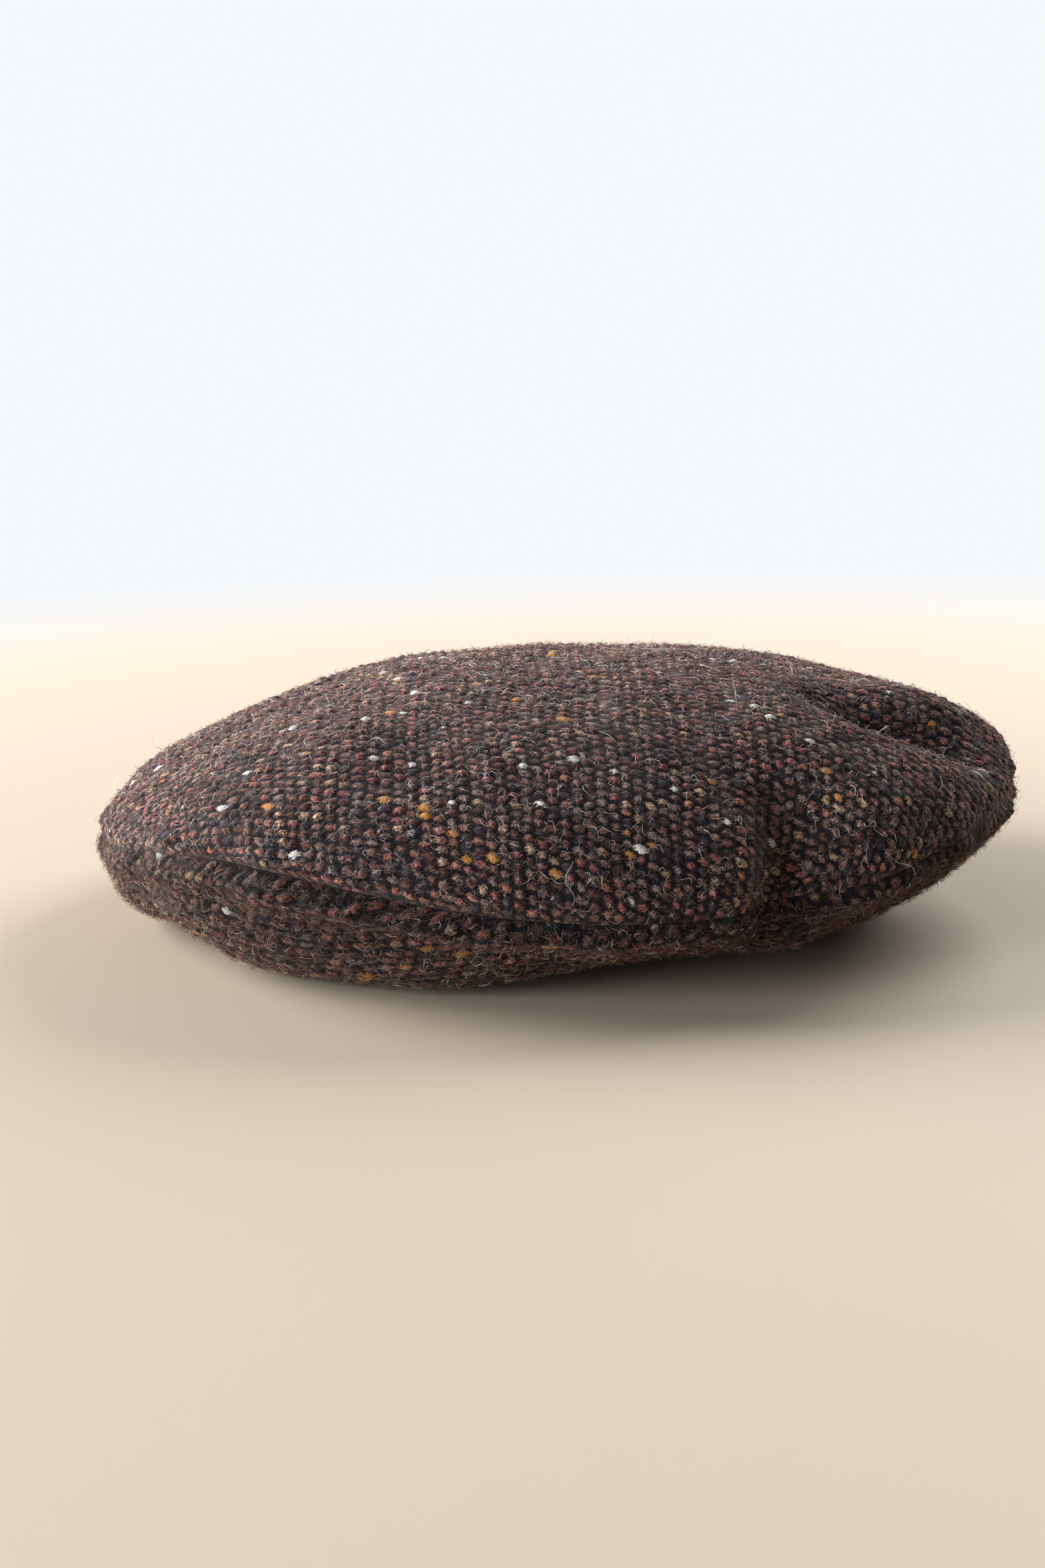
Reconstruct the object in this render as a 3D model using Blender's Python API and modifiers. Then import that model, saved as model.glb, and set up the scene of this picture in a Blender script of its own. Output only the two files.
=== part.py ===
"""Newsboy cap in coarse tweed, slumped on its head opening with the visor at +Y.

One round crown top is sewn along the rim to a front and a back side panel, which roll
under to the head opening. A lining follows them inside, a sweatband stands in the
opening, and the visor is a stiff board between two cloth covers. The visor's seam lets
it swing about a line across the cap.
"""

import math

import bmesh
import bpy
from mathutils import Vector

# Head opening, measured inside the sweatband, and where it lies under the crown
HEAD_WIDTH = 0.179
HEAD_LENGTH = 0.187
HEAD_OFFSET = 0.0135

# Rim, the widest line of the cap, where the crown top meets the side panels
RIM_WIDTH = 0.289
RIM_LENGTH = 0.254
RIM_HEIGHT = 0.0345
RIM_LEAN_SIDE = 0.0063
RIM_LEAN_FRONT = 0.004
SHOULDER_RISE = 0.0095
SHOULDER_ANGLE = math.radians(-132.0)
SHOULDER_SPREAD = math.radians(24.0)
SAG_DROP = 0.0085
SAG_ANGLE = math.radians(-70.0)
SAG_SPREAD = math.radians(30.0)
DENT_DEPTH = 0.005
DENT_ANGLE = math.radians(-65.0)
DENT_SPREAD = math.radians(9.0)

# Crown dome
CROWN_RISE = 0.0435
CROWN_FULLNESS = 1.14
FULLNESS_CHANGE = 0.18

# Folds of the crown: each is straight in plan between two places, which are given by their
# direction and by their share of the way from the crown's middle out to the rim
RIGHT_FOLD_DEPTH = 0.0145
RIGHT_FOLD_INNER_ANGLE = math.radians(-24.0)
RIGHT_FOLD_INNER_SHARE = 0.56
RIGHT_FOLD_OUTER_ANGLE = math.radians(-19.5)
RIGHT_FOLD_OUTER_SHARE = 0.99
LEFT_FOLD_DEPTH = 0.0045
LEFT_FOLD_INNER_ANGLE = math.radians(157.5)
LEFT_FOLD_INNER_SHARE = 0.34
LEFT_FOLD_OUTER_ANGLE = math.radians(178.5)
LEFT_FOLD_OUTER_SHARE = 0.78
DENT_FOLD_DEPTH = 0.0085
DENT_FOLD_INNER_ANGLE = math.radians(-58.5)
DENT_FOLD_INNER_SHARE = 0.74
DENT_FOLD_OUTER_SHARE = 1.1
FOLD_STEEP_WIDTH = 0.012
FOLD_GENTLE_WIDTH = 0.017
FOLD_BOTTOM = 0.003
FOLD_FADE = 0.3
FOLD_RISE = 0.3

# Roll of the side panels from the hem up to the rim
FOOT_WIDTH = 0.008
STAND_HEIGHT = 0.018
ROLL = 0.45
ROLL_CHANGE = 0.2
RISE_SHARE = 0.5
SHARE_CHANGE = 0.2
ARCH_LIFT = 0.005
ARCH_ANGLE = math.radians(-74.0)
ARCH_SPREAD = math.radians(28.0)
ARCH_TAUTNESS = 0.9

# Cloth layers
TWEED_THICKNESS = 0.0022
LINING_THICKNESS = 0.0006
SWEATBAND_THICKNESS = 0.0012
SWEATBAND_HEIGHT = 0.032
SWEATBAND_LIFT = 0.0005

# Visor
VISOR_PROJECTION = 0.048
VISOR_END_WIDTH = 0.005
VISOR_FULLNESS = 0.85
VISOR_HALF_SPAN = math.radians(60.0)
VISOR_SPREAD = 0.7
VISOR_DROP = 0.0025
VISOR_BOARD_THICKNESS = 0.0018
VISOR_COVER_THICKNESS = 0.0018
VISOR_EDGE = 0.003
VISOR_CLEARANCE = 0.0009
FRONT_LIFT = 0.004
HINGE_HEIGHT = 0.018

# Clearances between pieces
LAYER_GAP = 0.0003
HEM_GAP = 0.0006
SEAM_GAP = 0.0008
SEAM_LIP = 0.0015

# Facets
AROUND = 96
CROWN_RINGS = 18
ROLL_RINGS = 5
VISOR_ACROSS = 24
VISOR_OUT = 4

UP = Vector((0.0, 0.0, 1.0))
FRONT = math.pi / 2.0
SHELL_DEPTH = TWEED_THICKNESS + LAYER_GAP + LINING_THICKNESS
HEM_CLEARANCE = SWEATBAND_THICKNESS + HEM_GAP
VISOR_STACK = VISOR_BOARD_THICKNESS + 2.0 * (LAYER_GAP + VISOR_COVER_THICKNESS)
VISOR_ROOT = HEAD_LENGTH / 2.0 + HEM_CLEARANCE + SHELL_DEPTH + LAYER_GAP
VISOR_TIP = VISOR_ROOT + VISOR_PROJECTION + VISOR_EDGE
MID_LENGTH = (VISOR_TIP - RIM_LENGTH / 2.0) / 2.0
HEAD_CENTRE = Vector((-HEAD_OFFSET, -MID_LENGTH, 0.0))
RIM_CENTRE = Vector((0.0, -MID_LENGTH, 0.0))
HINGE = Vector(
    (
        HEAD_CENTRE.x,
        HEAD_CENTRE.y + VISOR_ROOT * math.cos(VISOR_HALF_SPAN),
        HINGE_HEIGHT,
    )
)


def smooth(start, end, value):
    """Eased step from 0 at start to 1 at end."""
    share = min(max((value - start) / (end - start), 0.0), 1.0)
    return share * share * (3.0 - 2.0 * share)


def turn(angle, centre):
    """Size of the angle between two directions round the cap."""
    return abs((angle - centre + math.pi) % (2.0 * math.pi) - math.pi)


def swell(angle, centre, spread):
    """Soft bump of height 1 round a direction."""
    return math.exp(-((turn(angle, centre) / spread) ** 2))


def upright(angle):
    """How far the panel stands up from its hem: 1 over the visor, 0 at the back."""
    off = turn(angle, FRONT)
    return 1.0 - smooth(VISOR_HALF_SPAN * 1.12, VISOR_HALF_SPAN * 1.7, off)


def lift(angle):
    """Height of the visor's arch above the base."""
    off = turn(angle, FRONT) / VISOR_HALF_SPAN
    if off >= 1.0:
        return 0.0
    return FRONT_LIFT * math.cos(off * math.pi / 2.0) ** 2


def arch(angle):
    """Share of the arch in the back of the hem, where the panel is pulled off the base."""
    return swell(angle, ARCH_ANGLE, ARCH_SPREAD)


def hem_point(angle):
    """Outer corner of the side panel at the head opening."""
    lean = upright(angle) * math.pi / 2.0
    out = HEM_CLEARANCE + SHELL_DEPTH * math.sin(lean)
    across = (HEAD_WIDTH / 2.0 + out) * math.cos(angle)
    along = (HEAD_LENGTH / 2.0 + out) * math.sin(angle)
    height = lift(angle) + ARCH_LIFT * arch(angle)
    return HEAD_CENTRE + Vector((across, along, height))


def rim_point(angle):
    """Point of the rim seam, with its lean, shoulder, sag and dent."""
    pinch = DENT_DEPTH * swell(angle, DENT_ANGLE, DENT_SPREAD)
    height = RIM_HEIGHT
    height += RIM_LEAN_SIDE * math.cos(angle)
    height += RIM_LEAN_FRONT * math.sin(angle)
    height += SHOULDER_RISE * swell(angle, SHOULDER_ANGLE, SHOULDER_SPREAD)
    height -= SAG_DROP * swell(angle, SAG_ANGLE, SAG_SPREAD)
    across = (RIM_WIDTH / 2.0 - pinch) * math.cos(angle)
    along = (RIM_LENGTH / 2.0 - pinch) * math.sin(angle)
    return RIM_CENTRE + Vector((across, along, height))


def plan_point(angle, share):
    """Place in plan at a share of the way from the crown's middle out to the rim."""
    return RIM_CENTRE.xy + (rim_point(angle).xy - RIM_CENTRE.xy) * share


def folds():
    """Depth and both ends of each fold; its gentle side is on the left of the line."""
    right = plan_point(RIGHT_FOLD_INNER_ANGLE, RIGHT_FOLD_INNER_SHARE)
    right_end = plan_point(RIGHT_FOLD_OUTER_ANGLE, RIGHT_FOLD_OUTER_SHARE)
    left = plan_point(LEFT_FOLD_OUTER_ANGLE, LEFT_FOLD_OUTER_SHARE)
    left_end = plan_point(LEFT_FOLD_INNER_ANGLE, LEFT_FOLD_INNER_SHARE)
    dent = plan_point(DENT_FOLD_INNER_ANGLE, DENT_FOLD_INNER_SHARE)
    dent_end = plan_point(DENT_ANGLE, DENT_FOLD_OUTER_SHARE)
    return (
        (RIGHT_FOLD_DEPTH, right, right_end),
        (LEFT_FOLD_DEPTH, left, left_end),
        (DENT_FOLD_DEPTH, dent, dent_end),
    )


def fold_drop(flat):
    """Depth of the folds at a place of the crown in plan."""
    drop = 0.0
    for depth, start, end in folds():
        ahead = (end - start).normalized()
        off = flat - start
        along = off.dot(ahead) / (end - start).length
        across = off.dot(Vector((-ahead.y, ahead.x)))
        gentle = smooth(-FOLD_BOTTOM, FOLD_BOTTOM, across)
        width = FOLD_STEEP_WIDTH + (FOLD_GENTLE_WIDTH - FOLD_STEEP_WIDTH) * gentle
        press = smooth(0.0, FOLD_FADE, along) * smooth(1.0, 1.0 - FOLD_FADE, along)
        drop += depth * press * math.exp(-((across / width) ** 2))
    return drop


def crown_point(around, ring):
    """Outer face of the crown top, from its seam edge (ring 0) to its middle."""
    angle = around * 2.0 * math.pi
    rim = rim_point(angle)
    if ring == 0:
        return rim + UP * (SEAM_GAP / 2.0)
    sweep = (ring - 1) / (CROWN_RINGS - 1) * math.pi / 2.0
    share = math.cos(sweep) if ring < CROWN_RINGS else 0.0
    foot = rim.z + SEAM_LIP
    top = RIM_HEIGHT + CROWN_RISE
    fullness = CROWN_FULLNESS - FULLNESS_CHANGE * math.cos(angle)
    height = foot + (top - foot) * math.sin(sweep) ** fullness
    flat = plan_point(angle, share)
    outward = Vector((math.cos(angle), math.sin(angle), 0.0)) * CROWN_RISE * math.cos(sweep)
    facing = (outward + UP * (RIM_WIDTH / 2.0 * math.sin(sweep))).normalized()
    drop = fold_drop(flat) * smooth(0.0, FOLD_RISE, math.sin(sweep))
    return Vector((flat.x, flat.y, height)) - facing * drop


def side_point(angle, ring):
    """Outer face of a side panel, from its hem (ring 0) up to the rim seam."""
    hem = hem_point(angle)
    rim = rim_point(angle) - UP * (SEAM_GAP / 2.0)
    if ring == 0:
        return hem
    stands = upright(angle)
    outward = Vector((rim.x - hem.x, rim.y - hem.y, 0.0)).normalized()
    heading = outward * math.cos(stands * FRONT) + UP * math.sin(stands * FRONT)
    end = rim - UP * SEAM_LIP
    slack = 1.0 - ARCH_TAUTNESS * arch(angle)
    foot = FOOT_WIDTH * slack
    start = hem + heading * (foot + (STAND_HEIGHT - foot) * stands)
    if ring == ROLL_RINGS + 2:
        return rim
    share = (ring - 1) / ROLL_RINGS
    run = (end - start).dot(outward)
    rise = end.z - start.z
    roll = (ROLL - ROLL_CHANGE * math.cos(angle)) * slack
    hang = RISE_SHARE - SHARE_CHANGE * math.cos(angle)
    reach = run * roll + (rise * hang - run * roll) * stands
    leave = start + heading * reach
    arrive = end - UP * (rise * hang * (1.0 - stands / 2.0))
    rest = 1.0 - share
    return (
        start * rest**3
        + leave * (3.0 * share * rest**2)
        + arrive * (3.0 * share**2 * rest)
        + end * share**3
    )


def front_point(around, ring):
    """Outer face of the front side panel, which runs from one side seam to the other."""
    slit = SEAM_GAP / HEAD_WIDTH
    return side_point(slit + around * (math.pi - 2.0 * slit), ring)


def back_point(around, ring):
    """Outer face of the back side panel."""
    slit = SEAM_GAP / HEAD_WIDTH
    return side_point(math.pi + slit + around * (math.pi - 2.0 * slit), ring)


def sweatband_point(around, ring):
    """Inner face of the sweatband, from its lower edge (ring 0) to its upper edge."""
    angle = around * 2.0 * math.pi
    across = HEAD_WIDTH / 2.0 * math.cos(angle)
    along = HEAD_LENGTH / 2.0 * math.sin(angle)
    foot = SWEATBAND_LIFT + hem_point(angle).z
    return HEAD_CENTRE + Vector((across, along, foot if ring == 0 else SWEATBAND_HEIGHT))


def visor_middle(across, out):
    """Mid-plane of the visor: across runs -1 to 1 along its seam, out is in metres."""
    angle = FRONT - across * VISOR_HALF_SPAN
    seam = hem_point(angle)
    facing = FRONT - across * VISOR_HALF_SPAN * VISOR_SPREAD
    heading = Vector((math.cos(facing), math.sin(facing), 0.0))
    clear = Vector((math.cos(angle), math.sin(angle), 0.0)) * LAYER_GAP
    drop = UP * (VISOR_DROP * out / VISOR_PROJECTION)
    return seam + clear + heading * out + UP * (VISOR_CLEARANCE + VISOR_STACK / 2.0) - drop


def visor_width(across):
    """Width of the visor board at this place along the seam."""
    share = max(math.cos(across * math.pi / 2.0), 0.0) ** VISOR_FULLNESS
    return VISOR_END_WIDTH + (VISOR_PROJECTION - VISOR_END_WIDTH) * share


def board_point(around, ring):
    """Underside of the visor board."""
    across = (2.0 * around - 1.0) * (1.0 - VISOR_EDGE / VISOR_ROOT)
    out = visor_width(across) * ring / VISOR_OUT
    return visor_middle(across, out) - UP * (VISOR_BOARD_THICKNESS / 2.0)


def cover_point(around, ring, side):
    """Inner face of a visor cover, which closes on the other cover past the board."""
    across = 2.0 * around - 1.0
    width = visor_width(across)
    out = width * ring / VISOR_OUT + LAYER_GAP * (ring == VISOR_OUT)
    apart = VISOR_BOARD_THICKNESS / 2.0 + LAYER_GAP
    if ring > VISOR_OUT:
        out = width + VISOR_EDGE * (0.7 if ring == VISOR_OUT + 1 else 1.0)
        apart = LAYER_GAP / 2.0
    return visor_middle(across, out) + UP * (apart * side)


def top_cover_point(around, ring):
    """Inner face of the upper cover."""
    return cover_point(around, ring, 1.0)


def under_cover_point(around, ring):
    """Inner face of the lower cover."""
    return cover_point(around, ring, -1.0)


def collection(name):
    """New collection in the scene."""
    made = bpy.data.collections.new(name)
    bpy.context.scene.collection.children.link(made)
    return made


def material(name, colour, roughness):
    """Plain material of one piece."""
    made = bpy.data.materials.new(name)
    made.use_nodes = True
    shader = made.node_tree.nodes["Principled BSDF"]
    shader.inputs["Base Color"].default_value = (*colour, 1.0)
    shader.inputs["Roughness"].default_value = roughness
    made.diffuse_color = (*colour, 1.0)
    return made


def sheet(name, home, around, along, place, flip=False, origin=None):
    """Open surface: a grid whose every vertex is laid where place() puts it."""
    work = bmesh.new()
    bmesh.ops.create_grid(work, x_segments=around, y_segments=along, size=0.5)
    for vert in work.verts:
        ring = round((vert.co.y + 0.5) * along)
        vert.co = place(vert.co.x + 0.5, ring) - (origin or Vector())
    bmesh.ops.remove_doubles(work, verts=work.verts, dist=1e-6)
    if flip:
        bmesh.ops.reverse_faces(work, faces=work.faces)
    mesh = bpy.data.meshes.new(name)
    work.to_mesh(mesh)
    work.free()
    made = bpy.data.objects.new(name, mesh)
    made.location = origin or Vector()
    home.objects.link(made)
    return made


def thicken(piece, thickness, depth=0.0):
    """Gives an open surface its thickness, starting at a depth behind its face."""
    shell = piece.modifiers.new("thickness", "SOLIDIFY")
    shell.thickness = thickness
    shell.offset = -1.0 - 2.0 * depth / thickness
    shell.use_even_offset = True
    shell.use_quality_normals = True


def build():
    """Builds every piece of the cap."""
    for old in list(bpy.data.objects):
        bpy.data.objects.remove(old, do_unlink=True)
    home = collection("newsboy_cap")
    side_rings = ROLL_RINGS + 2
    half = AROUND // 2
    lining_depth = TWEED_THICKNESS + LAYER_GAP

    crown = sheet("crown_top", home, AROUND, CROWN_RINGS, crown_point)
    thicken(crown, TWEED_THICKNESS)
    crown.data.materials.append(material("tweed_crown", (0.10, 0.065, 0.05), 0.95))

    back = sheet("side_panel_back", home, half, side_rings, back_point)
    thicken(back, TWEED_THICKNESS)
    back.data.materials.append(material("tweed_back", (0.09, 0.06, 0.048), 0.95))

    front = sheet("side_panel_front", home, half, side_rings, front_point)
    thicken(front, TWEED_THICKNESS)
    front.data.materials.append(material("tweed_front", (0.095, 0.06, 0.05), 0.95))

    lining = sheet("lining_top", home, AROUND, CROWN_RINGS, crown_point)
    thicken(lining, LINING_THICKNESS, lining_depth)
    lining.data.materials.append(material("satin_top", (0.05, 0.045, 0.045), 0.5))

    lining_back = sheet("lining_side_back", home, half, side_rings, back_point)
    thicken(lining_back, LINING_THICKNESS, lining_depth)
    lining_back.data.materials.append(material("satin_back", (0.05, 0.042, 0.04), 0.5))

    lining_front = sheet("lining_side_front", home, half, side_rings, front_point)
    thicken(lining_front, LINING_THICKNESS, lining_depth)
    lining_front.data.materials.append(material("satin_front", (0.052, 0.044, 0.04), 0.5))

    sweatband = sheet("sweatband", home, AROUND, 1, sweatband_point, flip=True)
    thicken(sweatband, SWEATBAND_THICKNESS)
    sweatband.data.materials.append(material("twill_band", (0.03, 0.028, 0.03), 0.8))

    board = sheet(
        "visor_board", home, VISOR_ACROSS, VISOR_OUT, board_point, True, HINGE
    )
    thicken(board, VISOR_BOARD_THICKNESS)
    board.data.materials.append(material("board", (0.6, 0.58, 0.54), 0.6))

    rows = VISOR_OUT + 2
    top = sheet(
        "visor_top_cover", home, VISOR_ACROSS, rows, top_cover_point, True, HINGE
    )
    thicken(top, VISOR_COVER_THICKNESS)
    top.data.materials.append(material("tweed_visor_top", (0.10, 0.062, 0.05), 0.95))

    under = sheet(
        "visor_under_cover", home, VISOR_ACROSS, rows, under_cover_point, False, HINGE
    )
    thicken(under, VISOR_COVER_THICKNESS)
    under.data.materials.append(material("tweed_visor_under", (0.09, 0.06, 0.05), 0.95))


build()
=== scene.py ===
"""Looks of a soft newsboy cap in coarse flecked tweed, slumped on its head opening.

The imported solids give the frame. The crown, the side panels, the lining, the sweatband
and the visor are rebuilt here as cloth: the same form at a finer spacing, with its folds,
its sewn groove, the relief of the weave and the loose wool that stands off it.
"""

import logging
import math
from dataclasses import dataclass
from enum import Enum, IntEnum

import bpy
import numpy as np
from mathutils import Matrix


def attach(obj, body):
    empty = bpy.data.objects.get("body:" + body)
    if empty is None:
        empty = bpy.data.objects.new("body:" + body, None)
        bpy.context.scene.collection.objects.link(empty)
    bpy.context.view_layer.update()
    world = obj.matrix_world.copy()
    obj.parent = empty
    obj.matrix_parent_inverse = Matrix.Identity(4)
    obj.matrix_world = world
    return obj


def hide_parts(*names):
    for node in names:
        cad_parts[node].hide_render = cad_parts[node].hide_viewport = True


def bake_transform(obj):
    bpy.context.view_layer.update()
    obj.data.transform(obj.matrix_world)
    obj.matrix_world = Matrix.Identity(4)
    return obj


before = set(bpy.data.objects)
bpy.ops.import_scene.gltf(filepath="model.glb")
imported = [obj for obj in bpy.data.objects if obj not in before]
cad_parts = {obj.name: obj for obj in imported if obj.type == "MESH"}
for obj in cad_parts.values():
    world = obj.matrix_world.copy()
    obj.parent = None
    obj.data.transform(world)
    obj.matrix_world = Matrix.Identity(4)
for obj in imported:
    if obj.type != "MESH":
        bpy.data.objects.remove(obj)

log = logging.getLogger("newsboy_cap")

Array = np.ndarray
Socket = bpy.types.NodeSocket
Piece = bpy.types.Object
Material = bpy.types.Material
Point = tuple[float, float, float]
Colour = tuple[float, float, float]
Stops = tuple[tuple[float, Colour], ...]

MM = 0.001
SQ_CM = 0.0001
TINY = 1e-12
FULL_TURN = 2.0 * math.pi
UP = np.array((0.0, 0.0, 1.0))
FRONT = math.pi / 2.0
PHOTO_SIZE = (1568, 2352)

# Maps of the pieces: places in the weave, places along a fibre, and places for the bake
WEAVE_MAP = "weave"
STRAND_MAP = "strand"
BAKE_MAP = "OFBake"

# Bake map of a sheet: its face above, its back below, and its edges in strips between
BAKE_SIDES = (0.01, 0.99)
FACE_BAND = (0.15, 0.99)
BACK_START, BACK_SCALE = 0.01, 0.09
STRIP_START, STRIP_HIGH, STRIP_STEP = 0.102, 0.006, 0.01
STRIP_SIDES = (0.01, 0.98)
STRIP_FILL = 0.9

# Bake map of the crown: centre and radius of the discs of its face and its back, and the
# ring of its edge
FACE_DISC = (0.5, 0.495)
BACK_DISC = (0.075, 0.06)
EDGE_CENTRE = (0.925, 0.075)
EDGE_RING = (0.05, 0.062)

# Bake map of a fibre in its own cell
FIBRE_SIDES = (0.15, 0.85)
FIBRE_ENDS = (0.1, 0.9)

# Share of the loose wool that is left along a seam
SEAM_WOOL = 0.15

# Least height of a visor cover's face and back over the middle plane
THIN_FACE, THIN_BACK = 0.0001, 0.00005

# Socket types of the node groups
VECTOR, VALUE, COLOUR = "NodeSocketVector", "NodeSocketFloat", "NodeSocketColor"

# Folds: steps along their lines, the place that they are seen from, and the least weight
FOLD_STEP = 0.0025
FOLD_CENTRE = (0.0, -0.011, 0.012)
FOLD_WEIGHT = 1e-9

# Numbers of the usual sine hash
HASH_FIRST, HASH_SECOND, HASH_SCALE = 12.9898, 78.233, 43758.5453


class Body(Enum):
    """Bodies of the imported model."""

    CAP = "cap"
    VISOR = "visor"


class Slot(Enum):
    """Material slots of the record."""

    TWEED = "tweed"
    LINING = "lining"
    SWEATBAND = "sweatband"


class Held(Enum):
    """How a sheet of cloth is held."""

    STRETCHED = "stretched"
    GATHERED = "gathered"


class Side(Enum):
    """Halves of the ring under the crown."""

    BACK = "back"
    FRONT = "front"


class Cover(Enum):
    """Covers of the visor, with the way that each one faces."""

    TOP = 1.0
    UNDER = -1.0


class Seed(IntEnum):
    """Seeds of the random draws."""

    COLUMN_DRIFT = 11
    ROW_DRIFT = 12
    COLUMN_WOBBLE = 13
    ROW_WOBBLE = 14
    PUCKERS = 21
    CROWN_WAVES = 22
    PANEL_WAVES = 23
    GATHERS = 31
    CROWN_FUZZ = 41
    BACK_FUZZ = 42
    FRONT_FUZZ = 43
    VISOR_FUZZ = 44
    CROWN_HAIRS = 47


# Small numeric helpers


def unit(vectors: Array) -> Array:
    """Vectors scaled to length 1."""
    size = np.linalg.norm(vectors, axis=-1, keepdims=True)
    return vectors / np.maximum(size, TINY)


def ease(start: float, end: float, value: Array) -> Array:
    """Eased step from 0 at start to 1 at end."""
    share = np.clip((value - start) / (end - start), 0.0, 1.0)
    return share * share * (3.0 - 2.0 * share)


def turn(angle: Array, centre: float) -> Array:
    """Size of the angle between directions round the cap."""
    return np.abs((angle - centre + math.pi) % FULL_TURN - math.pi)


def bell(value: Array, width: float) -> Array:
    """Soft bump of height 1 at value 0."""
    return np.exp(-((value / width) ** 2))


def resample(curves: Array, count: int) -> tuple[Array, Array]:
    """Spreads points evenly along each of many curves.

    Args:
        curves: Points, shaped (curves, samples, 3).
        count: Points wanted on each curve.

    Returns:
        The new points, shaped (curves, count, 3), and each curve's length.
    """
    steps = np.linalg.norm(np.diff(curves, axis=1), axis=2)
    reach = np.concatenate([np.zeros((len(curves), 1)), np.cumsum(steps, axis=1)], axis=1)
    share = np.linspace(0.0, 1.0, count)
    out = np.empty((len(curves), count, 3))
    for row, (curve, at) in enumerate(zip(curves, reach)):
        out[row] = along_line(share * at[-1], at, curve)
    return out, reach[:, -1]


def along_line(where: Array, at: Array, points: Array) -> Array:
    """Places along a line whose points lie at the given distances."""
    return np.stack([np.interp(where, at, points[:, axis]) for axis in range(3)], -1)


class Ripple:
    """Smooth, repeatable waviness of about unit size over a plane."""

    def __init__(self, seed: int, shortest: float, longest: float, count: int = 10) -> None:
        """Draws the waves.

        Args:
            seed: Seed of the draw.
            shortest: Shortest wavelength in metres.
            longest: Longest wavelength in metres.
            count: Number of waves.
        """
        draw = np.random.default_rng(int(seed))
        pace = FULL_TURN / draw.uniform(shortest, longest, count)
        heading = draw.uniform(0.0, FULL_TURN, count)
        self.across = pace * np.cos(heading)
        self.along = pace * np.sin(heading)
        self.phase = draw.uniform(0.0, FULL_TURN, count)

    def __call__(self, x: Array, y: Array) -> Array:
        """Waviness at places of the plane.

        Args:
            x: First coordinates, in metres.
            y: Second coordinates.

        Returns:
            The waviness at each place.
        """
        total = np.zeros(np.broadcast(x, y).shape)
        for across, along, phase in zip(self.across, self.along, self.phase):
            total += np.sin(across * x + along * y + phase)
        return total / math.sqrt(len(self.phase) / 2.0)


# Form of the cap


@dataclass(frozen=True)
class Swell:
    """Bump round one direction of the cap.

    Attributes:
        centre: Direction of its middle, in degrees.
        spread: Its width, in degrees.
        size: Its height.
    """

    centre: float
    spread: float
    size: float

    def __call__(self, angle: Array) -> Array:
        """Size of the bump at these directions."""
        off = turn(angle, math.radians(self.centre))
        return self.size * bell(off, math.radians(self.spread))


@dataclass(frozen=True)
class Crease:
    """Fold pressed into the cloth along a line.

    Attributes:
        line: Points of the line, in millimetres.
        depth: Depth of the valley.
        left: Width of the valley on the left of the line, looking along it from outside.
        right: Width on the right.
        ridge: Height of the ridge beside the valley, on its left.
        ridge_off: Distance of the ridge from the line.
        ridge_width: Width of the ridge.
        start_fade: Share of the line over which the fold begins.
        end_fade: Share of the line over which it ends.
    """

    line: tuple[Point, ...]
    depth: float
    left: float
    right: float
    ridge: float = 0.0
    ridge_off: float = 0.01
    ridge_width: float = 0.008
    start_fade: float = 0.3
    end_fade: float = 0.25

    def samples(self) -> tuple[Array, Array, Array, float]:
        """Even steps along the line.

        Returns:
            Their places, the directions to the left of them, the share of the fold that
            is pressed in at each, and the distance between them.
        """
        rough = np.array(self.line) * MM
        at = np.append(0.0, np.cumsum(np.linalg.norm(np.diff(rough, axis=0), axis=1)))
        count = int(at[-1] / FOLD_STEP) + 2
        share = np.linspace(0.0, 1.0, count)
        line = along_line(share * at[-1], at, rough)
        outward = unit(line - np.array(FOLD_CENTRE))
        leftward = unit(np.cross(outward, np.gradient(line, axis=0)))
        fade = ease(0.0, self.start_fade, share) * ease(1.0, 1.0 - self.end_fade, share)
        return line, leftward, fade, at[-1] / (count - 1)

    def shift(self, points: Array) -> Array:
        """Shift of points along their normals.

        Args:
            points: Points of the cloth, in metres.

        Returns:
            The shift of each point, below 0 inwards.
        """
        line, leftward, fade, step = self.samples()
        shape = points.shape[:-1]
        side, near, valley, hill = (np.zeros(shape) for _ in range(4))
        for place, left in zip(line, leftward):
            off = points - place
            close = bell(np.linalg.norm(off, axis=-1), max(self.left, self.right))
            side += close * (off @ left)
            near += close
        side = side / np.maximum(near, FOLD_WEIGHT)
        width = self.right + (self.left - self.right) * ease(-FOLD_STEP, FOLD_STEP, side)
        for place, left, share in zip(line, leftward, fade):
            valley += share * bell(np.linalg.norm(points - place, axis=-1), width)
            crest = place + left * self.ridge_off
            hill += share * bell(np.linalg.norm(points - crest, axis=-1), self.ridge_width)
        valley = valley * step / (width * math.sqrt(math.pi))
        hill = hill * step / (self.ridge_width * math.sqrt(math.pi))
        return self.ridge * hill - self.depth * valley


@dataclass(frozen=True)
class Pouch:
    """Soft place where the cloth bags out or draws in.

    Attributes:
        centre: Middle of the place, in millimetres.
        radius: Its radius, in millimetres.
        move: How far the cloth moves at the middle, in millimetres.
    """

    centre: Point
    radius: float
    move: Point

    def shift(self, points: Array) -> Array:
        """Shift of points, as vectors."""
        away = np.linalg.norm(points - np.array(self.centre) * MM, axis=-1)
        return bell(away, self.radius * MM)[..., None] * np.array(self.move) * MM


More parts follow.
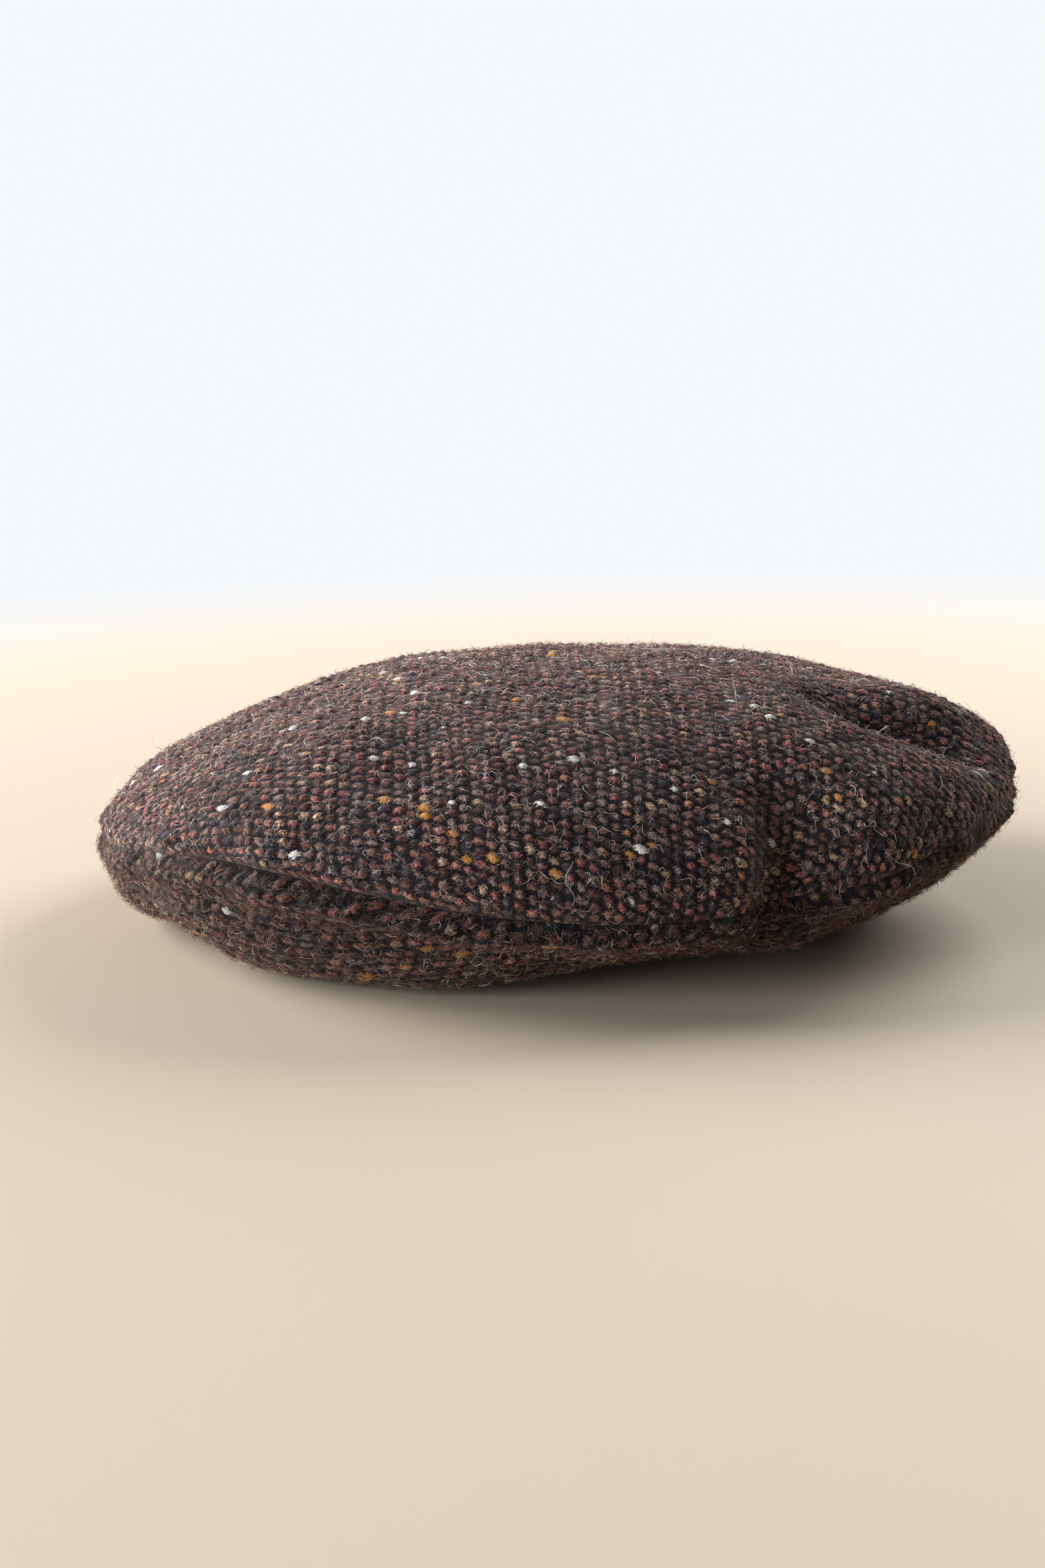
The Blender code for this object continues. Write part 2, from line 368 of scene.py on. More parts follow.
@dataclass(frozen=True)
class CapForm:
    """Slumped form of the cap, in metres. Angles run round +Z from +X."""

    head_width: float = 0.179
    head_length: float = 0.187
    head_centre: tuple[float, float] = (-0.0135, -0.01135)
    # Rim seam, its rise to the right and to the front, its swells and its dent
    rim_width: float = 0.289
    rim_length: float = 0.254
    rim_centre: tuple[float, float] = (0.0, -0.01135)
    rim_height: float = 0.0345
    lean_side: float = 0.0063
    lean_front: float = 0.004
    rim_swells: tuple[Swell, ...] = (Swell(-132.0, 24.0, 0.0095), Swell(-70.0, 30.0, -0.0085))
    dent: Swell = Swell(-65.0, 9.0, 0.005)
    # Crown: height, power of its curve (less is fuller), straight run at the rim
    crown_rise: float = 0.0435
    fullness: float = 1.14
    fullness_change: float = 0.18
    lip: float = 0.0015
    # Side panels: flat hem, upright front, and their roll and hang, less at the right
    foot: float = 0.008
    stand: float = 0.018
    roll: float = 0.45
    roll_change: float = 0.2
    hang: float = 0.5
    hang_change: float = 0.2
    # Part of the hem that lifts off the ground, and how tight the panel is there
    arch: Swell = Swell(-74.0, 28.0, 1.0)
    arch_lift: float = 0.005
    taut: float = 0.9
    # Room at the head opening, and all layers of the shell
    hem_clearance: float = 0.0018
    shell_depth: float = 0.0031
    # Arch over the visor, and angles at which the panels turn level, in half spans
    front_lift: float = 0.004
    visor_half_span: float = math.radians(60.0)
    upright_to: float = 1.12
    level_from: float = 1.7
    crown_samples: int = 260
    panel_samples: int = 120
    # Folds and soft places of the cloth
    creases: tuple[Crease, ...] = (
        # Pinch that runs up from the dent in the rim
        Crease(
            line=(
                (52, -113, 12), (56, -120, 20), (59, -122, 27), (61, -120, 33),
                (62, -116, 40), (62, -111, 47), (60, -104, 53), (58, -95, 58),
            ),
            depth=0.0085, left=0.0090, right=0.016,
            ridge=0.0015, ridge_off=0.014, ridge_width=0.008,
            start_fade=0.15, end_fade=0.4,
        ),
        # Long fold at the right end
        Crease(
            line=((74, -40, 72), (90, -47, 67), (106, -52, 60), (121, -54, 52), (135, -53, 42)),
            depth=0.0145, left=0.017, right=0.012,
            ridge=0.0025, ridge_off=0.028, ridge_width=0.014,
            start_fade=0.3, end_fade=0.35,
        ),
        # Faint fold at the left end
        Crease(
            line=((-45, 5, 75), (-66, 5, 71), (-84, 0, 66), (-98, -8, 61), (-113, -9, 55)),
            depth=0.0045, left=0.010, right=0.018,
            ridge=0.0015, ridge_off=0.012, ridge_width=0.008,
            start_fade=0.35, end_fade=0.25,
        ),
    )
    pouches: tuple[Pouch, ...] = (
        Pouch((62, -111, 11), 14.0, (0.0, -1.0, -4.5)),
        Pouch((-113, -68, 4), 20.0, (2.0, 2.0, 5.0)),
        Pouch((-62, 25, 72), 28.0, (0.0, 0.0, 2.0)),
        Pouch((95, 5, 68), 30.0, (0.0, 0.0, -2.5)),
    )
    # Depth of the rim seam round the cap
    seam_pull: Swell = Swell(-105.0, 42.0, 0.75)
    seam_ease: Swell = Swell(-65.0, 7.0, 0.3)
    seam_rest: float = 0.2

    def upright(self, angle: Array) -> Array:
        """How far a side panel stands up from its hem: 1 over the visor, 0 at the back."""
        off = turn(angle, FRONT) / self.visor_half_span
        return 1.0 - ease(self.upright_to, self.level_from, off)

    def visor_arch(self, angle: Array) -> Array:
        """Height of the visor's arch."""
        off = np.minimum(turn(angle, FRONT) / self.visor_half_span, 1.0)
        return self.front_lift * np.cos(off * math.pi / 2.0) ** 2

    def hem(self, angle: Array) -> Array:
        """Outer corner of the side panels at the head opening.

        Args:
            angle: Directions round the cap.

        Returns:
            A point for each direction.
        """
        lean = self.upright(angle) * math.pi / 2.0
        out = self.hem_clearance + self.shell_depth * np.sin(lean)
        across = self.head_centre[0] + (self.head_width / 2.0 + out) * np.cos(angle)
        along = self.head_centre[1] + (self.head_length / 2.0 + out) * np.sin(angle)
        height = self.visor_arch(angle) + self.arch_lift * self.arch(angle)
        return np.stack([across, along, height], -1)

    def rim(self, angle: Array) -> Array:
        """Line of the rim seam.

        Args:
            angle: Directions round the cap.

        Returns:
            A point for each direction.
        """
        pinch = self.dent(angle)
        height = self.rim_height + self.lean_side * np.cos(angle)
        height = height + self.lean_front * np.sin(angle)
        for swell in self.rim_swells:
            height = height + swell(angle)
        across = self.rim_centre[0] + (self.rim_width / 2.0 - pinch) * np.cos(angle)
        along = self.rim_centre[1] + (self.rim_length / 2.0 - pinch) * np.sin(angle)
        return np.stack([across, along, height], -1)

    def rim_outward(self, angle: Array) -> Array:
        """Level directions that point out of the cap at the rim.

        Args:
            angle: Directions round the cap.

        Returns:
            A unit vector for each direction.
        """
        across = np.cos(angle) / self.rim_width
        along = np.sin(angle) / self.rim_length
        return unit(np.stack([across, along, np.zeros_like(angle)], -1))

    def meridians(self, angle: Array) -> Array:
        """Curves of the crown from its rim seam up to its middle.

        Args:
            angle: Direction of each curve.

        Returns:
            Points, shaped (angles, samples, 3).
        """
        rim = self.rim(angle)[:, None, :]
        sweep = np.linspace(0.0, math.pi / 2.0, self.crown_samples)[None, :]
        share = np.cos(sweep)
        share[..., -1] = 0.0
        foot = rim[..., 2] + self.lip
        top = self.rim_height + self.crown_rise
        power = self.fullness - self.fullness_change * np.cos(angle)[:, None]
        height = foot + (top - foot) * np.sin(sweep) ** power
        across = self.rim_centre[0] + (rim[..., 0] - self.rim_centre[0]) * share
        along = self.rim_centre[1] + (rim[..., 1] - self.rim_centre[1]) * share
        dome = np.stack([across, along, height], -1)
        return np.concatenate([rim, dome], axis=1)

    def profiles(self, angle: Array) -> Array:
        """Curves of the side panels from the hem up to the rim seam.

        Args:
            angle: Direction of each curve.

        Returns:
            Points, shaped (angles, samples, 3).
        """
        hem, rim = self.hem(angle), self.rim(angle)
        stands = self.upright(angle)[:, None]
        outward = unit((rim - hem) * np.array((1.0, 1.0, 0.0)))
        heading = outward * np.cos(stands * FRONT) + UP * np.sin(stands * FRONT)
        slack = 1.0 - self.taut * self.arch(angle)[:, None]
        foot = self.foot * slack
        start = hem + heading * (foot + (self.stand - foot) * stands)
        end = rim - UP * self.lip
        run = ((end - start) * outward).sum(-1, keepdims=True)
        rise = (end - start)[:, 2:]
        turns = np.cos(angle)[:, None]
        roll = (self.roll - self.roll_change * turns) * slack
        hang = self.hang - self.hang_change * turns
        reach = run * roll + (rise * hang - run * roll) * stands
        leave = start + heading * reach
        arrive = end - UP * (rise * hang * (1.0 - stands / 2.0))
        share = np.linspace(0.0, 1.0, self.panel_samples)[None, :, None]
        rest = 1.0 - share
        bend = (
            start[:, None] * rest**3
            + leave[:, None] * (3.0 * share * rest**2)
            + arrive[:, None] * (3.0 * share**2 * rest)
            + end[:, None] * share**3
        )
        return np.concatenate([hem[:, None], bend, rim[:, None]], axis=1)

    def press(self, points: Array, normals: Array) -> Array:
        """Presses the folds into a surface.

        Args:
            points: Points of the surface.
            normals: Its normals.

        Returns:
            The folded points.
        """
        shift = np.zeros(points.shape[:-1])
        for crease in self.creases:
            shift += crease.shift(points)
        pressed = points + normals * shift[..., None]
        for pouch in self.pouches:
            pressed = pressed + pouch.shift(points)
        pressed[..., 2] = np.maximum(pressed[..., 2], 0.0)
        return pressed

    def seam_share(self, angle: Array) -> Array:
        """How deep the rim seam is drawn in round the cap, from 0 to 1."""
        return self.seam_rest + self.seam_pull(angle) - self.seam_ease(angle)


# Weave


@dataclass(frozen=True)
class TweedWeave:
    """Woven cells of the tweed: raised floats in a checkerboard over lower yarns, in metres."""

    # Sizes of a cell, height and slant of a float, depth of the lower yarns
    column: float = 0.0036
    row: float = 0.00175
    relief: float = 0.0008
    lean: float = 0.16
    sunk: float = 0.0005
    # Wandering of whole columns and rows, and wavering of single ones in cells
    drift: tuple[float, float] = (0.0009, 0.0007)
    drift_run: tuple[float, float] = (0.05, 0.12)
    wobble: tuple[float, float] = (0.07, 0.12)
    column_run: tuple[float, float] = (0.006, 0.012)
    row_run: tuple[float, float] = (0.005, 0.010)
    # Half width and length of a float in cells, and its height as a share
    float_half: tuple[float, float] = (0.50, 0.92)
    lowest: float = 0.3
    unevenness: float = 1.1

    def cells(self, across: Array, along: Array) -> Array:
        """Place on the cloth, counted in cells, with the drift of a hand-loomed cloth.

        Args:
            across: Place across the warp in metres.
            along: Place along the warp.

        Returns:
            Cell places, with two numbers in the last axis.
        """
        place = (across, along)
        column_drift = Ripple(Seed.COLUMN_DRIFT, *self.drift_run)(*place)
        row_drift = Ripple(Seed.ROW_DRIFT, *self.drift_run)(*place)
        u = (across + self.drift[0] * column_drift) / self.column
        v = (along + self.drift[1] * row_drift) / self.row
        u = u + self.wobble[0] * Ripple(Seed.COLUMN_WOBBLE, *self.column_run)(*place)
        v = v + self.wobble[1] * Ripple(Seed.ROW_WOBBLE, *self.row_run)(*place)
        return np.stack([u, v], -1)

    def height(self, cells: Array) -> Array:
        """Relief of the cloth.

        Args:
            cells: Places in the weave, counted in cells.

        Returns:
            Height over the mean face of the cloth, below 0 between the floats.
        """
        first = np.rint((cells[..., 0] + cells[..., 1]) / 2.0)
        second = np.rint((cells[..., 0] - cells[..., 1]) / 2.0)
        off_u = cells[..., 0] - first - second
        off_v = cells[..., 1] - first + second
        chance = np.sin(first * HASH_FIRST + second * HASH_SECOND) * HASH_SCALE
        chance = chance - np.floor(chance)
        off_u = off_u + self.lean * off_v
        dome = 1.0 - (off_u / self.float_half[0]) ** 2 - (off_v / self.float_half[1]) ** 2
        size = self.lowest + self.unevenness * chance
        return self.relief * np.clip(dome, 0.0, 1.0) * size - self.sunk


# Meshes


@dataclass
class Surface:
    """Grid of cloth points.

    Attributes:
        points: Points, shaped (rows, columns, 3).
        normals: Outward normals.
        cells: Places in the weave, shaped (rows, columns, 2).
    """

    points: Array
    normals: Array
    cells: Array

    def raised(self, height: Array) -> Array:
        """Points moved along their normals."""
        return self.points + self.normals * height[..., None]


def grid_normals(points: Array, closed: bool) -> Array:
    """Normals of a grid of points.

    Args:
        points: Points, shaped (rows, columns, 3).
        closed: Whether the last column meets the first.

    Returns:
        Unit normals, on the right of the rows as the columns run.
    """
    if closed:
        across = np.roll(points, -1, axis=1) - np.roll(points, 1, axis=1)
    else:
        across = np.gradient(points, axis=1)
    return unit(np.cross(across, np.gradient(points, axis=0)))


class MeshMaker:
    """Collects the points and faces of one piece, with its two maps."""

    def __init__(self, map_name: str = WEAVE_MAP) -> None:
        """Starts an empty piece.

        Args:
            map_name: Name of the map that the material reads.
        """
        self.map_name = map_name
        self.points: list[Array] = []
        self.places: list[Array] = []
        self.faces: list[Array] = []
        self.bakes: list[Array] = []
        self.count = 0

    def add_points(self, points: Array, places: Array) -> Array:
        """Adds points with their places in the material's map.

        Args:
            points: Points in any grid shape.
            places: Map places of the same shape.

        Returns:
            The points' numbers, in the same shape.
        """
        shape = points.shape[:-1]
        total = int(np.prod(shape))
        self.points.append(points.reshape(-1, 3))
        self.places.append(places.reshape(-1, 2))
        numbers = np.arange(self.count, self.count + total).reshape(shape)
        self.count += total
        return numbers

    def add_faces(self, faces: Array, bake: Array | None = None) -> None:
        """Adds faces of one size.

        Args:
            faces: Point numbers, shaped (faces, corners).
            bake: Bake place of each corner, shaped (faces, corners, 2), for a piece that
                lays out its own bake map.
        """
        self.faces.append(faces.astype(np.int64))
        if bake is not None:
            self.bakes.append(bake)

    def make(self, name: str) -> Piece:
        """Makes the piece as an object of the scene.

        Args:
            name: Name of the piece.

        Returns:
            The piece.
        """
        points = np.concatenate(self.points)
        places = np.concatenate(self.places)
        corners = np.concatenate([faces.ravel() for faces in self.faces])
        sizes = np.concatenate([np.full(len(f), f.shape[1]) for f in self.faces])
        mesh = bpy.data.meshes.new(name)
        mesh.vertices.add(len(points))
        mesh.vertices.foreach_set("co", points.astype(np.float32).ravel())
        mesh.loops.add(len(corners))
        mesh.loops.foreach_set("vertex_index", corners.astype(np.int32))
        mesh.polygons.add(len(sizes))
        starts = np.concatenate([[0], np.cumsum(sizes)[:-1]])
        mesh.polygons.foreach_set("loop_start", starts.astype(np.int32))
        mesh.polygons.foreach_set("use_smooth", np.ones(len(sizes), bool))
        mesh.update(calc_edges=True)
        maps = {self.map_name: places[corners]}
        if self.bakes:
            maps[BAKE_MAP] = np.concatenate([bake.reshape(-1, 2) for bake in self.bakes])
        for map_name, values in maps.items():
            layer = mesh.uv_layers.new(name=map_name)
            layer.uv.foreach_set("vector", values.astype(np.float32).ravel())
        mesh.uv_layers.active = mesh.uv_layers[self.map_name]
        made = bpy.data.objects.new(name, mesh)
        bpy.context.scene.collection.objects.link(made)
        return made


def quads(numbers: Array, closed: bool = False) -> Array:
    """Faces of a grid of point numbers.

    Args:
        numbers: Point numbers, shaped (rows, columns).
        closed: Whether the last column meets the first.

    Returns:
        Faces, shaped (faces, 4).
    """
    beside = np.roll(numbers, -1, axis=1) if closed else numbers[:, 1:]
    here = numbers if closed else numbers[:, :-1]
    faces = np.stack([here[:-1], beside[:-1], beside[1:], here[1:]], -1)
    return faces.reshape(-1, 4)


def bridge(fine: Array, coarse: Array) -> Array:
    """Triangles that close the edge between a fine and a coarse line of points.

    Args:
        fine: Point numbers of the outer edge, in the order of its faces.
        coarse: Point numbers of the inner edge, one for every few of the outer edge.

    Returns:
        Faces, shaped (faces, 3).
    """
    steps = (len(fine) - 1) // (len(coarse) - 1)
    faces = []
    for at in range(len(coarse) - 1):
        run = fine[at * steps : (at + 1) * steps + 1]
        half = steps // 2
        for step in range(steps):
            faces.append((run[step + 1], run[step], coarse[at + (step >= half)]))
        faces.append((coarse[at], coarse[at + 1], run[half]))
    return np.array(faces)


def strip_bake(faces: Array, low: float, high: float) -> Array:
    """Bake places of a run of bridge faces, laid along a narrow strip of the map.

    Args:
        faces: Faces in order along the strip.
        low: Lower edge of the strip.
        high: Upper edge.

    Returns:
        Places, shaped (faces, corners, 2).
    """
    ahead = np.linspace(*STRIP_SIDES, len(faces))[:, None]
    step = np.array((0.0, 0.0, STRIP_FILL / len(faces)))[None, :]
    rise = np.broadcast_to(np.array((low, high, high)), (len(faces), 3))
    return np.stack([ahead + step, rise], -1)


def grid_shell(name: str, outer: Surface, relief: Array, inner: Array, coarse: int) -> Piece:
    """Thin closed sheet with a fine outer face and a coarser inner face.

    Args:
        name: Name of the piece.
        outer: Grid of the outer face.
        relief: Height of the weave over that grid.
        inner: Points of the inner face over the same grid.
        coarse: Take one inner point of so many.

    Returns:
        The piece.
    """
    maker = MeshMaker()
    rows, columns = outer.points.shape[:2]
    face = maker.add_points(outer.raised(relief), outer.cells)
    back = maker.add_points(inner[::coarse, ::coarse], outer.cells[::coarse, ::coarse])
    across, along = np.meshgrid(np.linspace(*BAKE_SIDES, columns), np.linspace(*FACE_BAND, rows))
    spread = np.stack([across, along], -1)
    low = np.stack([across, BACK_START + BACK_SCALE * along], -1)[::coarse, ::coarse]
    place = np.concatenate([spread.reshape(-1, 2), low.reshape(-1, 2)])
    front = quads(face)
    maker.add_faces(front, place[front])
    rear = quads(back)[:, ::-1]
    maker.add_faces(rear, place[rear])
    edges = (
        (face[0], back[0]),
        (face[:, -1], back[:, -1]),
        (face[-1, ::-1], back[-1, ::-1]),
        (face[::-1, 0], back[::-1, 0]),
    )
    for row, (fine, rough) in enumerate(edges):
        faces = bridge(fine, rough)
        foot = STRIP_START + STRIP_STEP * row
        maker.add_faces(faces, strip_bake(faces, foot, foot + STRIP_HIGH))
    return maker.make(name)


# Node helpers


class Graph:
    """Adds and links nodes in one node tree."""

    def __init__(self, tree: bpy.types.NodeTree) -> None:
        """Works on this tree."""
        self.tree = tree

    def feed(self, socket: Socket, value: object) -> None:
        """Links an input to a socket, or sets it to a plain value.

        Args:
            socket: The input.
            value: Socket that it is linked to, or its plain value.
        """
        if isinstance(value, bpy.types.NodeSocket):
            self.tree.links.new(value, socket)
        else:
            socket.default_value = value

    def add(self, kind: str, values: dict | None = None, **settings: object) -> bpy.types.Node:
        """Adds a node.

        Args:
            kind: Blender's name of the node type.
            values: Inputs by name, as sockets or plain values.
            **settings: The node's own settings.

        Returns:
            The node.
        """
        node = self.tree.nodes.new(kind)
        for key, value in settings.items():
            setattr(node, key, value)
        for key, value in (values or {}).items():
            self.feed(node.inputs[key], value)
        return node

    def math(self, operation: str, *values: object) -> Socket:
        """Adds a maths node.

        Args:
            operation: Blender's name of the operation.
            *values: Its inputs in order, as sockets or plain values.

        Returns:
            The result.
        """
        node = self.add("ShaderNodeMath", operation=operation)
        for socket, value in zip(node.inputs, values):
            self.feed(socket, value)
        return node.outputs[0]

    def mix(self, share: object, first: object, second: object, blend: str = "MIX") -> Socket:
        """Blends two colours.

        Args:
            share: Share of the second colour.
            first: The first colour.
            second: The second colour.
            blend: Blender's name of the blend.

        Returns:
            The blended colour.
        """
        node = self.add("ShaderNodeMix", data_type="RGBA", blend_type=blend)
        for index, value in ((0, share), (6, first), (7, second)):
            self.feed(node.inputs[index], value)
        return node.outputs[2]

    def scaled(self, colour: object, value: Socket) -> Socket:
        """Colour made lighter or darker by a value."""
        return self.mix(1.0, colour, self.vector(value, value, value), "MULTIPLY")

    def span(
        self, value: object, low: float, high: float, start: float = 0.0, end: float = 1.0
    ) -> Socket:
        """Value eased from the range low to high into the range start to end."""
        values = {"Value": value, "From Min": low, "From Max": high, "To Min": start, "To Max": end}
        return self.add("ShaderNodeMapRange", values, interpolation_type="SMOOTHSTEP").outputs[0]

    def noise(
        self, vector: Socket, scale: float, detail: float = 2.0, distortion: float = 0.0
    ) -> Socket:
        """Noise from 0 to 1 over a vector."""
        values = {"Vector": vector, "Scale": scale, "Detail": detail, "Distortion": distortion}
        return self.add("ShaderNodeTexNoise", values).outputs["Fac"]

    def ramp(self, value: Socket, stops: Stops, stepped: bool = False) -> Socket:
        """Picks a colour from a row of stops.

        Args:
            value: Place in the row.
            stops: Place and colour of each stop.
            stepped: Whether the colours change at once, not gradually.

        Returns:
            The colour.
        """
        node = self.add("ShaderNodeValToRGB", {"Fac": value})
        band = node.color_ramp
        band.interpolation = "CONSTANT" if stepped else "LINEAR"
        while len(band.elements) < len(stops):
            band.elements.new(1.0)
        for element, (place, colour) in zip(band.elements, stops):
            element.position = place
            element.color = (*colour, 1.0)
        return node.outputs["Color"]

    def vector(self, x: object, y: object, z: object = 0.0) -> Socket:
        """Vector from three values."""
        return self.add("ShaderNodeCombineXYZ", {"X": x, "Y": y, "Z": z}).outputs[0]

    def bump(self, height: Socket, depth: float, strength: float) -> Socket:
        """Normal of a drawn relief of this depth in metres."""
        values = {"Height": height, "Distance": depth, "Strength": strength}
        return self.add("ShaderNodeBump", values).outputs["Normal"]

    def group(self, tree: bpy.types.NodeTree, values: dict) -> bpy.types.bpy_prop_collection:
        """Outputs of a shared node group that is placed here with its own values."""
        return self.add("ShaderNodeGroup", values, node_tree=tree).outputs


def new_group(name: str, inputs: dict, outputs: dict) -> tuple[Graph, dict, dict]:
    """Starts a shader node group.

    Args:
        name: Name of the group.
        inputs: Socket types by name.
        outputs: Socket types by name.

    Returns:
        Its graph, the sockets that its inputs give, and those that its outputs take.
    """
    tree = bpy.data.node_groups.new(name, "ShaderNodeTree")
    for label, kind in inputs.items():
        tree.interface.new_socket(label, in_out="INPUT", socket_type=kind)
    for label, kind in outputs.items():
        tree.interface.new_socket(label, in_out="OUTPUT", socket_type=kind)
    given = tree.nodes.new("NodeGroupInput")
    taken = tree.nodes.new("NodeGroupOutput")
    return (
        Graph(tree),
        {label: given.outputs[label] for label in inputs},
        {label: taken.inputs[label] for label in outputs},
    )


@dataclass(frozen=True)
class TweedLook:
    """Colours of the tweed's yarns and their unevenness."""

    # Raised floats: browns with rust, wine and near black ones
    floats: Stops = (
        (0.0, (0.225, 0.096, 0.076)),
        (0.20, (0.292, 0.138, 0.110)),
        (0.36, (0.260, 0.172, 0.146)),
        (0.46, (0.052, 0.040, 0.046)),
        (0.63, (0.274, 0.106, 0.080)),
        (0.71, (0.210, 0.068, 0.068)),
        (0.79, (0.125, 0.072, 0.064)),
        (0.94, (0.260, 0.168, 0.110)),
    )
    # Lower yarns: near black, charcoal and navy
    lower: Stops = (
        (0.3, (0.011, 0.010, 0.012)),
        (0.48, (0.024, 0.025, 0.038)),
        (0.6, (0.039, 0.030, 0.030)),
        (0.75, (0.088, 0.059, 0.052)),
    )
    # Unevenness: least and greatest brightness, and edges of the floats
    strength: tuple[float, float] = (0.45, 1.5)
    float_half: tuple[float, float] = (0.40, 0.80)
    float_edge: tuple[float, float] = (1.2, 0.45)
    ragged: float = 2.8
    grain: tuple[float, float] = (0.4, 1.6)
    mottle: tuple[float, float] = (0.35, 1.75)
    streak: tuple[float, float] = (0.7, 1.25)
    # Painted shade in the hollows: colour scaled from 0.5 where a float's dome is low up to 1.1 on
    # its top
    hollow_shade: tuple[float, float] = (0.5, 1.1)
    # Neps, which are small knots of wool: chances, sizes and edges
    cream: Colour = (0.95, 0.93, 0.89)
    mustard: Colour = (0.60, 0.28, 0.08)
    nep_from: float = 0.973
    mustard_from: float = 0.55
    nep_size: tuple[float, float] = (0.5, 1.5)
    nep_edge: tuple[float, float] = (1.05, 0.6)
    nep_ragged: float = 0.9
    nep_light: tuple[float, float] = (0.85, 1.0)
    # Fine fibres that curl over the face
    strand: Colour = (0.77, 0.60, 0.53)


class TweedDrawing:
    """Steps that draw the tweed inside its node group."""

    def __init__(self, g: Graph, cells: Socket, weave: TweedWeave, look: TweedLook) -> None:
        """Finds the float at each place, with its own chances.

        Args:
            g: Graph of the group.
            cells: Place in the weave, counted in cells.
            weave: Sizes of the tweed.
            look: Its colours.
        """
        self.g, self.look = g, look
        parts = g.add("ShaderNodeSeparateXYZ", {"Vector": cells})
        x, y = parts.outputs["X"], parts.outputs["Y"]
        column, row = weave.column / MM, weave.row / MM
        self.place = g.vector(g.math("MULTIPLY", x, column), g.math("MULTIPLY", y, row))
        first = g.math("ROUND", g.math("MULTIPLY", g.math("ADD", x, y), 0.5))
        second = g.math("ROUND", g.math("MULTIPLY", g.math("SUBTRACT", x, y), 0.5))
        off_x = g.math("SUBTRACT", x, g.math("ADD", first, second))
        off_y = g.math("SUBTRACT", y, g.math("SUBTRACT", first, second))
        off_x = g.math("MULTIPLY_ADD", off_y, weave.lean, off_x)
        numbers = {"Vector": g.vector(first, second)}
        noise = g.add("ShaderNodeTexWhiteNoise", numbers, noise_dimensions="2D").outputs
        self.chance = noise["Value"]
        self.picks = g.add("ShaderNodeSeparateColor", {"Color": noise["Color"]}).outputs
        # Distance from the middle of the float, about 1 at its ragged edge
        across = g.math("POWER", g.math("DIVIDE", off_x, look.float_half[0]), 2.0)
        along = g.math("POWER", g.math("DIVIDE", off_y, look.float_half[1]), 2.0)
        rough_edge = g.math("SUBTRACT", g.noise(self.place, 1.5, 4.0), 0.5)
        away = g.math("SQRT", g.math("ADD", across, along))
        self.away = g.math("MULTIPLY_ADD", rough_edge, look.ragged, away)
        inside = g.math("SUBTRACT", 1.0, g.math("POWER", self.away, 2.0))
        self.dome = g.math("SQRT", g.math("MAXIMUM", inside, 0.0))
        twist = g.math("ADD", g.math("MULTIPLY", x, column * 5.0), g.math("MULTIPLY", y, 4.0))
        slanted = g.vector(twist, g.math("MULTIPLY", y, row * 1.6))
        self.fibre = g.noise(slanted, 1.0, 3.0, 0.4)
        streak = g.noise(g.vector(x, g.math("MULTIPLY", y, 0.08)), 0.8, 2.0)
        self.streak = g.span(streak, 0.3, 0.7, *look.streak)

    def yarns(self) -> Socket:
        """Colours the raised floats and the lower yarns, with painted shade in the hollows between
        the floats.

        Returns:
            The colour.
        """
        g, look = self.g, self.look
        strength = g.span(self.picks["Red"], 0.0, 1.0, *look.strength)
        floats = g.scaled(g.ramp(self.chance, look.floats, stepped=True), strength)
        lower = g.ramp(g.noise(self.place, 0.45, 3.0), look.lower)
        colour = g.mix(g.span(self.away, *look.float_edge), lower, floats)
        mottle = g.span(g.noise(self.place, 0.95, 3.0), 0.3, 0.7, *look.mottle)
        grain = g.span(self.fibre, 0.25, 0.75, *look.grain)
        grain = g.math("MULTIPLY", grain, g.math("MULTIPLY", mottle, self.streak))
        # Painted shade: the colour is darkened where the float's dome is low, between the floats
        return g.scaled(g.scaled(colour, grain), g.span(self.dome, 0.0, 0.7, *look.hollow_shade))

    def neps(self, colour: Socket) -> Socket:
        """Lays small knots of pale wool, each of its own size, over the yarns.

        Args:
            colour: Colour of the yarns.

        Returns:
            The colour with the neps.
        """
        g, look = self.g, self.look
        knot = g.math("DIVIDE", self.away, g.span(self.picks["Blue"], 0.0, 1.0, *look.nep_size))
        ragged = g.math("SUBTRACT", self.fibre, 0.5)
        ragged = g.math("MULTIPLY_ADD", ragged, look.nep_ragged, knot)
        chosen = g.math("GREATER_THAN", self.picks["Green"], look.nep_from)
        nep = g.math("MULTIPLY", g.span(ragged, *look.nep_edge), chosen)
        other = g.math("GREATER_THAN", self.picks["Red"], look.mustard_from)
        tint = g.mix(other, (*look.cream, 1.0), (*look.mustard, 1.0))
        tint = g.scaled(tint, g.span(self.chance, 0.0, 0.7, *look.nep_light))
        return g.mix(nep, colour, tint)

    def strands(self) -> tuple[Socket, Socket]:
        """Finds the fine pale fibres that curl over the face.

        Returns:
            Share of their lines, and of the patches in which they show.
        """
        g = self.g
        elsewhere = {0: self.place, 1: (37.0, 11.0, 5.0)}
        elsewhere = g.add("ShaderNodeVectorMath", elsewhere, operation="ADD").outputs[0]
        first = g.math("SUBTRACT", g.noise(self.place, 0.42, 1.5, 1.6), 0.5)
        second = g.math("SUBTRACT", g.noise(elsewhere, 0.55, 1.5, 1.4), 0.47)
        line = g.math(
            "MAXIMUM",
            g.span(g.math("ABSOLUTE", first), 0.02, 0.005),
            g.span(g.math("ABSOLUTE", second), 0.018, 0.005),
        )
        return line, g.span(g.noise(self.place, 0.3, 2.0), 0.48, 0.66)


